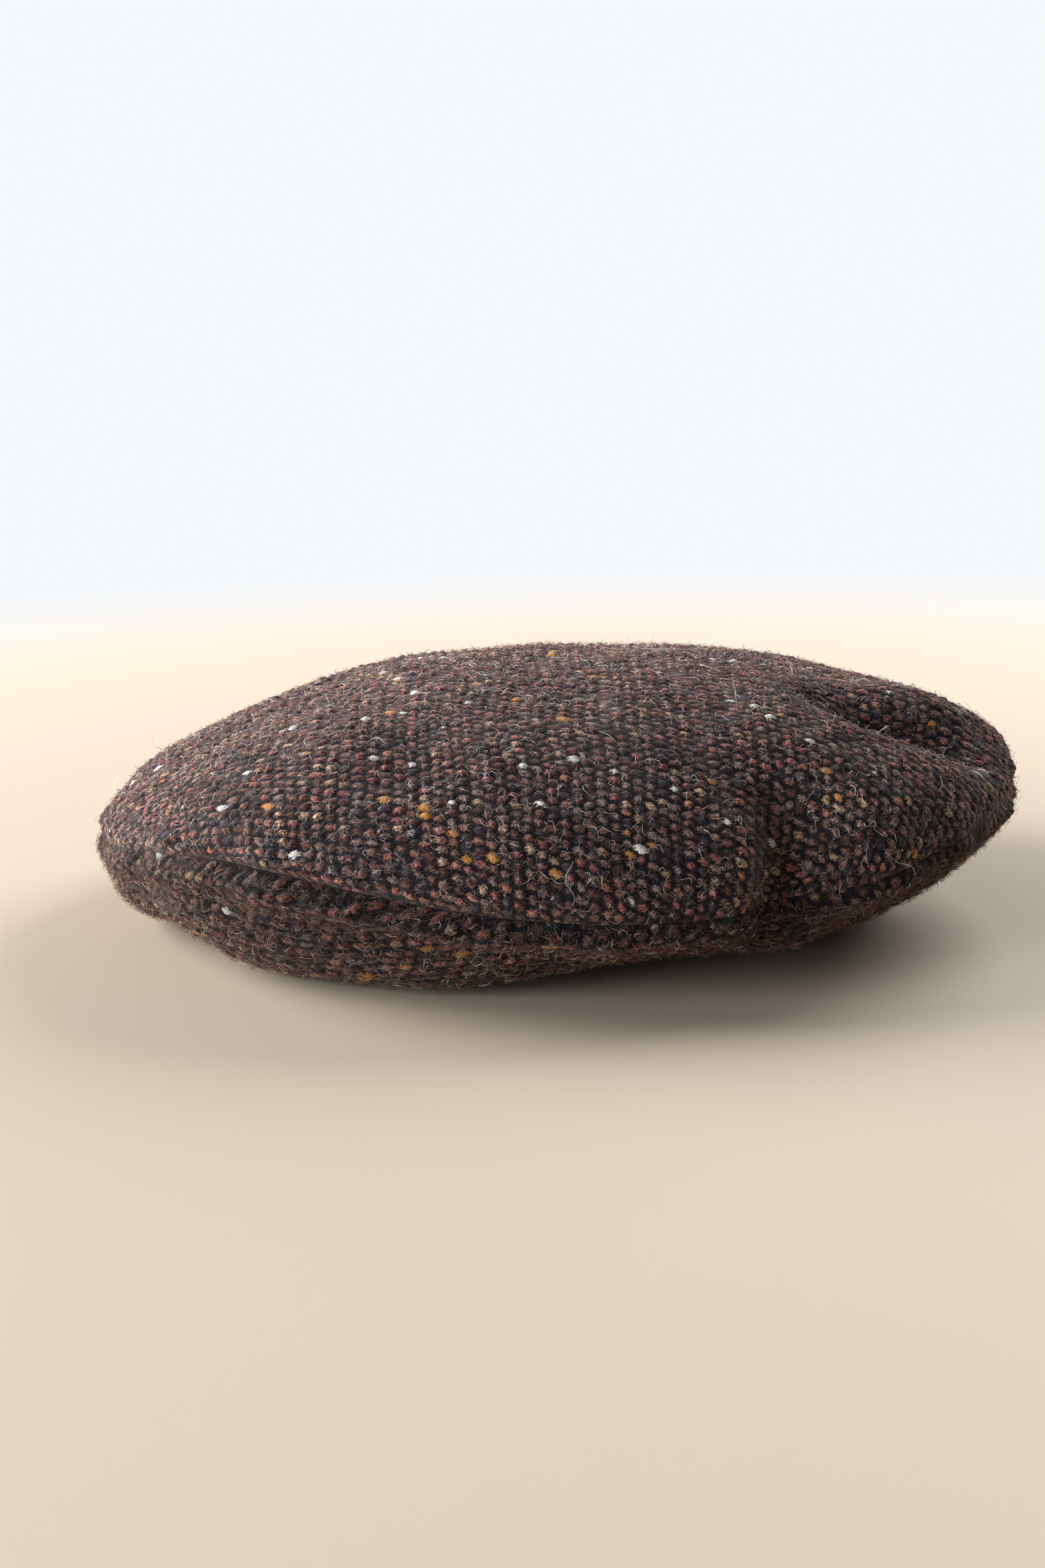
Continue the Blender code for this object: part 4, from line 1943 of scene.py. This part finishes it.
    def make(self, finishes: Finishes) -> list[Piece]:
        """Makes and dresses the crown, with the loose wool on it.

        Args:
            finishes: Materials of the cap.

        Returns:
            The pieces.
        """
        sheet = self.build()
        dress(sheet.piece, finishes.tweed)
        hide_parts("crown_top")
        rows = ease(*self.bare_rim, np.linspace(0.0, 1.0, self.rings + 1))
        wool = Fuzz(Seed.CROWN_FUZZ)
        fuzz = wool.build("crown_fuzz", sheet.face, self.fibres, seam_wool(rows))
        dress(fuzz, finishes.wool)
        long_hair = Fuzz(
            Seed.CROWN_HAIRS, shortest=0.008, longest=0.02, radius=0.00008, curl=1.3, steps=14
        )
        hairs = long_hair.build("crown_hairs", sheet.face, self.hairs, rows)
        dress(hairs, finishes.pale_hair)
        for piece in (sheet.piece, fuzz, hairs):
            self.hold(piece)
        sheet.declare(Held.GATHERED, ["side_back_tweed", "side_front_tweed"], [fuzz, hairs])
        return [sheet.piece, fuzz, hairs]


@dataclass
class SidePanel:
    """Half of the under-ring, from the hem round the roll up to the rim."""

    form: CapForm
    weave: TweedWeave
    side: Side
    fibres: int
    seed: Seed
    joining: Joining = Joining()
    columns: int = 577
    rows: int = 97
    thickness: float = 0.0017
    back_step: int = 8
    # Seams, with a higher ridge under the rim
    seam: Seam = Seam()
    rim_seam: Seam = Seam(ridge=0.0040, ridge_off=0.0054, ridge_width=0.0034)
    slit: float = 0.0003
    seam_from: float = 0.15
    wave: float = 0.0004
    wave_run: tuple[float, float] = (0.03, 0.07)
    wave_rows: tuple[float, float] = (0.12, 0.4)
    wave_from: float = 0.012
    # Strips where the relief and the loose wool fade
    smooth_hem: tuple[float, float] = (0.06, 0.16)
    smooth_rim: float = 0.97
    smooth_ground: tuple[float, float] = (0.001, 0.006)
    bare_rim: tuple[float, float] = (0.99, 0.95)
    # Flat piece: radius at the hem, and angle against that of the half
    cut_radius: float = 0.095
    cut_turn: float = 0.83

    @property
    def name(self) -> str:
        """Name of the piece."""
        return f"side_{self.side.value}_tweed"

    def surface(self, columns: int, rows: int, sewn: bool = True) -> Surface:
        """Outer face of the panel.

        Args:
            columns: Points along it.
            rows: Points from the hem to the rim.
            sewn: Whether the groove and puckers of its seams are on it.

        Returns:
            The surface, with its hem in the first row.
        """
        form = self.form
        first = 0.0 if self.side is Side.FRONT else math.pi
        slit = self.slit / form.rim_width
        angle = np.linspace(first + slit, first + math.pi - slit, columns)
        points, length = resample(form.profiles(angle), rows)
        points = points.transpose(1, 0, 2)
        share = np.linspace(0.0, 1.0, rows)[:, None]
        below = (1.0 - share) * length[None, :]
        run = (angle * (form.rim_width + form.rim_length) / 4.0)[None, :]
        outward = form.rim_outward(angle)[None, :, :]
        shift = self.seam.slope(below)
        if sewn:
            shift = self.rim_seam.inset(below) * form.seam_share(angle)
            shift = shift + self.seam.puckers(run, below)
        points = points + outward * shift[..., None]
        if sewn:
            ends = np.minimum(run - run[:, :1], run[:, -1:] - run)
            tuck = self.seam.inset(ends) * ease(0.0, self.seam_from, share)
            points = points + grid_normals(points, False) * tuck[..., None]
        soft = Ripple(Seed.PANEL_WAVES, *self.wave_run)(points[..., 0], points[..., 1])
        free = ease(*self.wave_rows, share) * ease(0.0, self.wave_from, below)
        points = points + grid_normals(points, False) * (self.wave * soft * free)[..., None]
        points = form.press(points, self.seam.level(grid_normals(points, False), outward, below))
        middle = first + FRONT
        cut = middle + (angle - middle) * self.cut_turn
        reach = self.cut_radius + share * length[None, :]
        cells = self.weave.cells(reach * np.cos(cut), reach * np.sin(cut))
        return Surface(points, grid_normals(points, False), cells)

    def build(self) -> Sheet:
        """Makes the tweed of the panel.

        Returns:
            The sheet.
        """
        surface = self.surface(self.columns, self.rows)
        share = np.linspace(0.0, 1.0, self.rows)[:, None]
        free = ease(1.0, self.smooth_rim, share) * ease(*self.smooth_hem, share)
        relief = self.weave.height(surface.cells) * free
        relief = relief * ease(*self.smooth_ground, surface.points[..., 2])
        inner = surface.points - surface.normals * self.thickness
        piece = grid_shell(self.name, surface, relief, inner, self.back_step)
        face = Surface(surface.raised(relief), surface.normals, surface.cells)
        return Sheet(piece, cut_of(surface, self.weave, False), face)

    def hold(self, piece: Piece) -> None:
        """Lets a piece of the back panel go with the cap; a piece of the front panel only has its
        placement baked.

        Args:
            piece: The piece.
        """
        if self.side is Side.FRONT:
            self.joining.apply(piece)
        else:
            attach(piece, Body.CAP.value)

    def make(self, finishes: Finishes) -> list[Piece]:
        """Makes and dresses the panel, with the loose wool on it.

        Args:
            finishes: Materials of the cap.

        Returns:
            The pieces.
        """
        sheet = self.build()
        dress(sheet.piece, finishes.panel_tweed)
        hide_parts(f"side_panel_{self.side.value}")
        rows = seam_wool(ease(*self.bare_rim, np.linspace(0.0, 1.0, self.rows)))
        fuzz = Fuzz(self.seed).build(f"side_{self.side.value}_fuzz", sheet.face, self.fibres, rows)
        dress(fuzz, finishes.brown_wool)
        for piece in (sheet.piece, fuzz):
            self.hold(piece)
        sheet.declare(Held.GATHERED, ["crown_top_tweed", "sweatband_twill"], [fuzz])
        return [sheet.piece, fuzz]


@dataclass
class Lining:
    """Satin lining that follows the tweed inside, a little slack."""

    crown: CrownTop
    panels: tuple[SidePanel, ...]
    # Distance behind the face of the tweed, thickness, and gathers
    depth: float = 0.0026
    thickness: float = 0.0005
    slack: float = 0.0005
    gather_run: tuple[float, float] = (0.012, 0.03)
    # Points round and to the middle, and along and up a panel
    crown_grid: tuple[int, int] = (288, 96)
    panel_grid: tuple[int, int] = (161, 57)

    def gathers(self, points: Array) -> Array:
        """Depth of the lining behind the tweed, with its gathers.

        Args:
            points: Points of the tweed.

        Returns:
            The depth at each point.
        """
        angle = np.arctan2(points[..., 1], points[..., 0])
        wave = Ripple(Seed.GATHERS, *self.gather_run)(angle * 0.1, points[..., 2] * 0.2)
        return self.depth + self.slack * (1.0 + 0.5 * wave)

    def thicken(self, maker: MeshMaker, name: str) -> Piece:
        """Makes one piece of the lining and gives it its thickness.

        Args:
            maker: Faces of the piece.
            name: Its name.

        Returns:
            The piece.
        """
        piece = maker.make(name)
        shell = piece.modifiers.new("thickness", "SOLIDIFY")
        shell.thickness = self.thickness
        shell.offset = -1.0
        return piece

    def slackened(self, surface: Surface) -> Surface:
        """Surface of the lining behind that of the tweed."""
        points = surface.raised(-self.gathers(surface.points))
        return Surface(points, surface.normals, surface.cells)

    def build(self) -> list[Sheet]:
        """Makes the three pieces of the lining.

        Returns:
            The sheets, that of the crown first.
        """
        weave = self.crown.weave
        scale = np.array((weave.column, weave.row))
        surface = self.slackened(self.crown.surface(*self.crown_grid, sewn=False))
        flat = surface.cells * scale
        maker = MeshMaker()
        ring = maker.add_points(surface.points[:-1], flat[:-1])
        pole = maker.add_points(surface.points[-1:, 0], flat[-1, :1])
        maker.add_faces(CrownTop.fan(ring[-1], pole[0]))
        maker.add_faces(quads(ring, True))
        made = [Sheet(self.thicken(maker, "crown_lining"), cut_of(surface, weave, True))]
        for panel in self.panels:
            surface = self.slackened(panel.surface(*self.panel_grid, sewn=False))
            maker = MeshMaker()
            maker.add_faces(quads(maker.add_points(surface.points, surface.cells * scale)))
            piece = self.thicken(maker, f"side_{panel.side.value}_lining")
            made.append(Sheet(piece, cut_of(surface, weave, False)))
        return made

    def make(self, finishes: Finishes) -> list[Piece]:
        """Makes and dresses the lining.

        Args:
            finishes: Materials of the cap.

        Returns:
            The pieces.
        """
        nodes = ["lining_top"] + [f"lining_side_{panel.side.value}" for panel in self.panels]
        sheets = self.build()
        for sheet, node, lined in zip(sheets, nodes, (self.crown, *self.panels)):
            dress(sheet.piece, finishes.satin)
            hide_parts(node)
            lined.hold(sheet.piece)
            sheet.declare(Held.GATHERED, [lined.name], [])
        return [sheet.piece for sheet in sheets]


@dataclass
class Sweatband:
    """Twill band that stands inside the head opening."""

    form: CapForm
    joining: Joining = Joining()
    thickness: float = 0.0012
    top: float = 0.032
    lift: float = 0.0006
    columns: int = 288
    rows: int = 15
    # Bound upper edge, and how far the faces draw in and the edges reach out
    bead: float = 0.00025
    bead_rows: tuple[float, float] = (0.86, 0.89)
    slim: float = 0.0002
    nose: float = 0.012
    wave: float = 0.0004
    waves: float = 7.0

    def place(self, angle: Array, out: Array, share: Array) -> Array:
        """Points of the band.

        Args:
            angle: Directions round the cap.
            out: Distances behind the inner face.
            share: Shares of the way up.

        Returns:
            The points.
        """
        form = self.form
        foot = form.hem(angle)[..., 2] + self.lift
        height = foot + (self.top - foot) * share
        wave = self.wave * np.sin(angle * self.waves + 1.0) * np.sin(share * math.pi)
        across = form.head_centre[0] + (form.head_width / 2.0 + out + wave) * np.cos(angle)
        along = form.head_centre[1] + (form.head_length / 2.0 + out + wave) * np.sin(angle)
        return np.stack([across, along, height], -1)

    def outline(self) -> Array:
        """Closed outline of the band's section.

        Returns:
            Distance behind the inner face and share of the way up, for each point.
        """
        up = np.linspace(0.0, 1.0, self.rows)
        bound = self.bead * ease(*self.bead_rows, up)
        inside = np.stack([self.slim - bound, up], -1)
        outside = np.stack([self.thickness + bound - self.slim, up], -1)[::-1]
        foot = np.array([[self.thickness / 2.0, -self.nose]])
        crest = np.array([[self.thickness / 2.0, 1.0 + self.nose]])
        return np.concatenate([foot, inside, crest, outside])

    def build(self) -> Sheet:
        """Makes the band.

        Returns:
            The sheet.
        """
        curve = self.outline()
        angle = np.linspace(0.0, FULL_TURN, self.columns, endpoint=False)
        points = self.place(angle[None, :], curve[:, :1], curve[:, 1:])
        run = angle[None, :] * (self.form.head_width + self.form.head_length) / 4.0
        rise = np.cumsum(np.append(0.0, np.abs(np.diff(curve[:, 1]))))[:, None] * self.top
        flat = np.stack(np.broadcast_arrays(run, rise), -1)
        maker = MeshMaker()
        numbers = maker.add_points(points, flat)
        numbers = np.concatenate([numbers, numbers[:1]])
        faces = quads(numbers, True)[:, ::-1]
        u = np.linspace(*STRIP_SIDES, self.columns)
        v = np.linspace(*BAKE_SIDES, len(numbers))
        row, column = np.divmod(np.arange(len(faces)), self.columns)
        corners = ((1, 0), (1, 1), (0, 1), (0, 0))
        wide = u[1] - u[0]
        place = [
            np.stack([u[column] + wide * right, v[row + upper]], -1) for upper, right in corners
        ]
        maker.add_faces(faces, np.stack(place, 1))
        size = (float(self.top), float(run.max()))
        return Sheet(maker.make("sweatband_twill"), Cut(size, size[0] * size[1]))

    def make(self, finishes: Finishes) -> list[Piece]:
        """Makes and dresses the band.

        Args:
            finishes: Materials of the cap.

        Returns:
            The piece.
        """
        sheet = self.build()
        dress(sheet.piece, finishes.twill)
        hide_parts("sweatband")
        self.joining.apply(sheet.piece)
        sheet.declare(Held.STRETCHED, ["side_back_tweed", "side_front_tweed"], [])
        return [sheet.piece]


@dataclass
class Visor:
    """Short stiff visor: two tweed covers closed over a board."""

    form: CapForm
    weave: TweedWeave
    # Outline: widths at the middle and the ends, fullness, fan
    projection: float = 0.048
    end_width: float = 0.005
    fullness: float = 0.85
    spread: float = 0.7
    # Drop of the tip, thickness, covers past the board, and clearances
    drop: float = 0.0025
    stack: float = 0.0060
    edge: float = 0.003
    clearance: float = 0.0009
    gap: float = 0.0003
    columns: int = 273
    rows: int = 73
    back_step: int = 8
    # Covers: how far they draw in, thickness, and rounding of edge, ends and root
    slim: float = 0.0003
    cover: float = 0.0016
    round_edge: float = 0.0045
    round_end: float = 0.035
    root_dip: float = 0.25
    root_width: float = 0.0025
    # Groove of the stitches, and relief of the weave
    groove: float = 0.00035
    groove_width: float = 0.0009
    relief: float = 0.8
    relief_from: tuple[float, float] = (0.3, 0.9)
    # Stitch rows, by their distance from the edge
    stitch_rows: tuple[float, ...] = (0.0045, 0.0085)
    stitch_reach: float = 0.93
    stitch_samples: int = 400
    stitch_lift: float = 0.0002
    fibres: int = 900
    standing: float = 0.25

    def width(self, across: Array) -> Array:
        """Width of the visor along its seam, covers included."""
        share = np.maximum(np.cos(across * math.pi / 2.0), 0.0) ** self.fullness
        return self.end_width + (self.projection - self.end_width) * share + self.edge

    def middle(self, across: Array, out: Array) -> Array:
        """Points of the visor's middle plane.

        Args:
            across: Places along the seam, from -1 to 1.
            out: Distances from the seam.

        Returns:
            The points.
        """
        angle = FRONT - across * self.form.visor_half_span
        facing = FRONT - across * self.form.visor_half_span * self.spread
        level = np.zeros_like(angle)
        heading = np.stack([np.cos(facing), np.sin(facing), level], -1)
        clear = np.stack([np.cos(angle), np.sin(angle), level], -1) * self.gap
        drop = UP * (self.drop * out / self.projection)[..., None]
        height = UP * (self.clearance + self.stack / 2.0)
        return self.form.hem(angle) + clear + heading * out[..., None] + height - drop

    def thick(self, across: Array, out: Array, width: Array) -> Array:
        """Half thickness, rounded down at the edge, the ends and the root.

        Args:
            across: Places along the seam, from -1 to 1.
            out: Distances from the seam.
            width: Width of the visor there.

        Returns:
            The half thickness at each place.
        """
        half = self.stack / 2.0 - self.slim
        edge = np.clip((out - width + self.round_edge) / self.round_edge, 0.0, 1.0)
        ends = np.clip((np.abs(across) - 1.0 + self.round_end) / self.round_end, 0.0, 1.0)
        root = self.root_dip * bell(out, self.root_width)
        groove = sum(bell(width - out - row, self.groove_width) for row in self.stitch_rows)
        close = np.sqrt(np.clip(1.0 - edge**2, 0.0, 1.0))
        close = close * np.sqrt(np.clip(1.0 - ends**2, 0.0, 1.0))
        return half * close * (1.0 - root) - self.groove * groove * close

    def build(self, cover: Cover) -> Sheet:
        """Makes one cover.

        Args:
            cover: Which one.

        Returns:
            The sheet.
        """
        along = np.linspace(-cover.value, cover.value, self.columns)
        across, share = np.meshgrid(along, np.linspace(0.0, 1.0, self.rows))
        width = self.width(across)
        out = width * share
        half = self.thick(across, out, width)
        base = self.middle(across, out)
        points = base + UP * (cover.value * np.maximum(half, THIN_FACE))[..., None]
        normals = grid_normals(points, False)
        cells = self.weave.cells(base[..., 0], base[..., 1])
        free = np.clip(half / (self.stack / 2.0), 0.0, 1.0)
        relief = self.weave.height(cells) * self.relief * ease(*self.relief_from, free)
        back = np.maximum(half - self.cover, THIN_BACK)
        inner = base + UP * (cover.value * back)[..., None]
        surface = Surface(points, normals, cells)
        name = f"visor_{cover.name.lower()}_tweed"
        piece = grid_shell(name, surface, relief, inner, self.back_step)
        face = Surface(surface.raised(relief), normals, cells)
        return Sheet(piece, cut_of(surface, self.weave, False), face)

    def stitch_paths(self, cover: Cover) -> list[tuple[Array, Array]]:
        """Lines of topstitching on one cover.

        Args:
            cover: Which one.

        Returns:
            Points and normals of each line.
        """
        paths = []
        across = np.linspace(-self.stitch_reach, self.stitch_reach, self.stitch_samples)
        width = self.width(across)
        for row in self.stitch_rows:
            out = np.maximum(width - row, MM)
            height = self.thick(across, out, width) + self.stitch_lift
            points = self.middle(across, out) + UP * (cover.value * height)[:, None]
            paths.append((points, np.broadcast_to(UP * cover.value, points.shape)))
        return paths

    def make(self, finishes: Finishes) -> list[Piece]:
        """Makes and dresses the covers, with the stitches and the loose wool on them.

        Args:
            finishes: Materials of the cap.

        Returns:
            The pieces, with the board last.
        """
        paths = self.stitch_paths(Cover.TOP) + self.stitch_paths(Cover.UNDER)
        sewing = StitchRow().build("visor_stitching", paths)
        dress(sewing, finishes.thread)
        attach(sewing, Body.VISOR.value)
        pieces = [sewing]
        for cover in Cover:
            sheet = self.build(cover)
            dress(sheet.piece, finishes.visor_tweed)
            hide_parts(f"visor_{cover.name.lower()}_cover")
            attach(sheet.piece, Body.VISOR.value)
            pieces.append(sheet.piece)
            loose = []
            if cover is Cover.TOP:
                wool = Fuzz(Seed.VISOR_FUZZ, standing=self.standing)
                fuzz = wool.build("visor_fuzz", sheet.face, self.fibres, np.ones(self.rows))
                dress(fuzz, finishes.wool)
                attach(fuzz, Body.VISOR.value)
                pieces.append(fuzz)
                loose = [fuzz, sewing]
            sheet.declare(Held.STRETCHED, ["visor_board"], loose)
        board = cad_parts["visor_board"]
        give_material(board, finishes.board)
        return [*pieces, board]


# Stage


@dataclass(frozen=True)
class Lamp:
    """Soft round lamp."""

    name: str
    place: Point
    size: float
    power: float
    colour: Colour

    def build(self, aim: Point) -> None:
        """Makes the lamp, turned to a point.

        Args:
            aim: The point.
        """
        data = bpy.data.lights.new(self.name, "AREA")
        data.shape = "DISK"
        data.size = self.size
        data.energy = self.power
        data.color = self.colour
        lamp = bpy.data.objects.new(self.name, data)
        back = unit(np.array(self.place) - np.array(aim))
        across = unit(np.cross(UP, back))
        turned = np.eye(4)
        turned[:3, :3] = np.stack([across, np.cross(back, across), back], 1)
        turned[:3, 3] = self.place
        lamp.matrix_world = Matrix(turned.tolist())
        bpy.context.scene.collection.objects.link(lamp)


@dataclass(frozen=True)
class Stage:
    """Pale floor that sweeps up behind, soft light and the camera."""

    # Colours, strength of the surrounding light, and where the floor turns into it
    floor: Colour = (0.62, 0.53, 0.42)
    surround: Colour = (0.92, 0.94, 0.96)
    glow: float = 0.04
    fade: tuple[float, float] = (0.45, 1.0)
    near: float = -3.5
    far: float = 3.2
    half: float = 4.5
    high: float = 3.0
    bend: float = 1.0
    bend_steps: int = 12
    # Lamps and the point that they are turned to
    lamps: tuple[Lamp, ...] = (
        Lamp("key_light", (-2.6, 1.08, 0.9), 2.1, 204.0, (1.0, 0.985, 0.97)),
        Lamp("top_light", (1.5, 1.9, 1.3), 1.8, 80.0, (0.98, 0.99, 1.0)),
        Lamp("fill_light", (-2.4, -1.45, 0.55), 1.9, 80.0, (0.95, 0.975, 1.0)),
    )
    aim: Point = (0.0, 0.0, 0.04)
    # Camera: place, tilt down, lean to the right, focal length in photograph pixels
    eye: Point = (-0.0109, -0.63095, 0.1683)
    pitch: float = math.radians(12.0)
    roll: float = math.radians(1.3)
    focal: float = 2950.0

    def build(self) -> None:
        """Makes the stage."""
        self.backdrop()
        self.camera()
        for lamp in self.lamps:
            lamp.build(self.aim)
        self.world()

    def backdrop(self) -> None:
        """Makes the floor with its sweep."""
        curve = [(self.near, 0.0)]
        for step in range(self.bend_steps + 1):
            angle = step / self.bend_steps * math.pi / 2.0
            back = self.far - self.bend + self.bend * math.sin(angle)
            curve.append((back, self.bend - self.bend * math.cos(angle)))
        curve.append((self.far, self.high))
        points = [(x, y, z) for y, z in curve for x in (-self.half, self.half)]
        faces = [(2 * i, 2 * i + 1, 2 * i + 3, 2 * i + 2) for i in range(len(curve) - 1)]
        mesh = bpy.data.meshes.new("floor")
        mesh.from_pydata(points, [], faces)
        mesh.polygons.foreach_set("use_smooth", [True] * len(faces))
        mesh.materials.append(self.floor_material())
        floor = bpy.data.objects.new("floor", mesh)
        bpy.context.scene.collection.objects.link(floor)

    def floor_material(self) -> Material:
        """Makes the floor's material, which turns into its surroundings far from the cap.

        Returns:
            The material.
        """
        graph, shader, made = start_material("pale_floor")
        shader.inputs["Base Color"].default_value = (*self.floor, 1.0)
        shader.inputs["Roughness"].default_value = 0.7
        shader.inputs["Specular IOR Level"].default_value = 0.2
        spot = graph.add("ShaderNodeTexCoord").outputs["Object"]
        reach = graph.add("ShaderNodeVectorMath", {0: spot}, operation="LENGTH").outputs["Value"]
        share = graph.math("MULTIPLY", graph.span(reach, *self.fade), self.seen(graph))
        glow = {"Color": (*self.surround, 1.0), "Strength": 1.0}
        glow = graph.add("ShaderNodeEmission", glow).outputs[0]
        blend = graph.add("ShaderNodeMixShader", {0: share, 1: shader.outputs[0], 2: glow})
        graph.feed(made.node_tree.nodes["Material Output"].inputs["Surface"], blend.outputs[0])
        return made

    @staticmethod
    def seen(graph: Graph) -> Socket:
        """Finds the rays that the camera sees, also through gloss or glass.

        Args:
            graph: Graph of the material or the world.

        Returns:
            Share 1 for those rays.
        """
        path = graph.add("ShaderNodeLightPath").outputs
        mirrored = graph.math("MAXIMUM", path["Is Glossy Ray"], path["Is Transmission Ray"])
        return graph.math("MAXIMUM", path["Is Camera Ray"], mirrored)

    def camera(self) -> None:
        """Makes the camera at the photograph's view."""
        data = bpy.data.cameras.new("camera")
        data.sensor_width = 36.0
        data.lens = self.focal / max(PHOTO_SIZE) * data.sensor_width
        data.clip_start = 0.01
        camera = bpy.data.objects.new("camera", data)
        ahead = np.array((0.0, math.cos(self.pitch), -math.sin(self.pitch)))
        above = np.array((0.0, math.sin(self.pitch), math.cos(self.pitch)))
        right = np.array((1.0, 0.0, 0.0))
        across = right * math.cos(self.roll) - above * math.sin(self.roll)
        upward = right * math.sin(self.roll) + above * math.cos(self.roll)
        turned = np.eye(4)
        turned[:3, :3] = np.stack([across, upward, -ahead], 1)
        turned[:3, 3] = self.eye
        camera.matrix_world = Matrix(turned.tolist())
        bpy.context.scene.collection.objects.link(camera)
        bpy.context.scene.camera = camera

    def world(self) -> None:
        """Sets an even pale surrounding light."""
        world = bpy.data.worlds.new("studio")
        world.use_nodes = True
        sky = world.node_tree.nodes["Background"]
        graph = Graph(world.node_tree)
        sky.inputs["Color"].default_value = (*self.surround, 1.0)
        graph.feed(sky.inputs["Strength"], graph.span(self.seen(graph), 0.0, 1.0, self.glow, 1.0))
        bpy.context.scene.world = world
        bpy.context.scene.view_settings.view_transform = "Standard"


def report(piece: Piece) -> None:
    """Writes one line on a finished piece to the log."""
    log.info("%s: %d faces", piece.name, len(piece.data.polygons))


def main() -> None:
    """Builds the cap and its stage."""
    logging.basicConfig(level=logging.INFO, format="%(name)s %(message)s")
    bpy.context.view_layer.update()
    Stage().build()
    form, weave = CapForm(), TweedWeave()
    finishes = Finishes(Effects(weave))
    crown = CrownTop(form, weave)
    back = SidePanel(form, weave, Side.BACK, fibres=9000, seed=Seed.BACK_FUZZ)
    front = SidePanel(form, weave, Side.FRONT, fibres=5000, seed=Seed.FRONT_FUZZ)
    lining = Lining(crown, (back, front))
    for part in (crown, back, front, lining, Sweatband(form), Visor(form, weave)):
        for piece in part.make(finishes):
            report(piece)


if __name__ == "__main__":
    main()
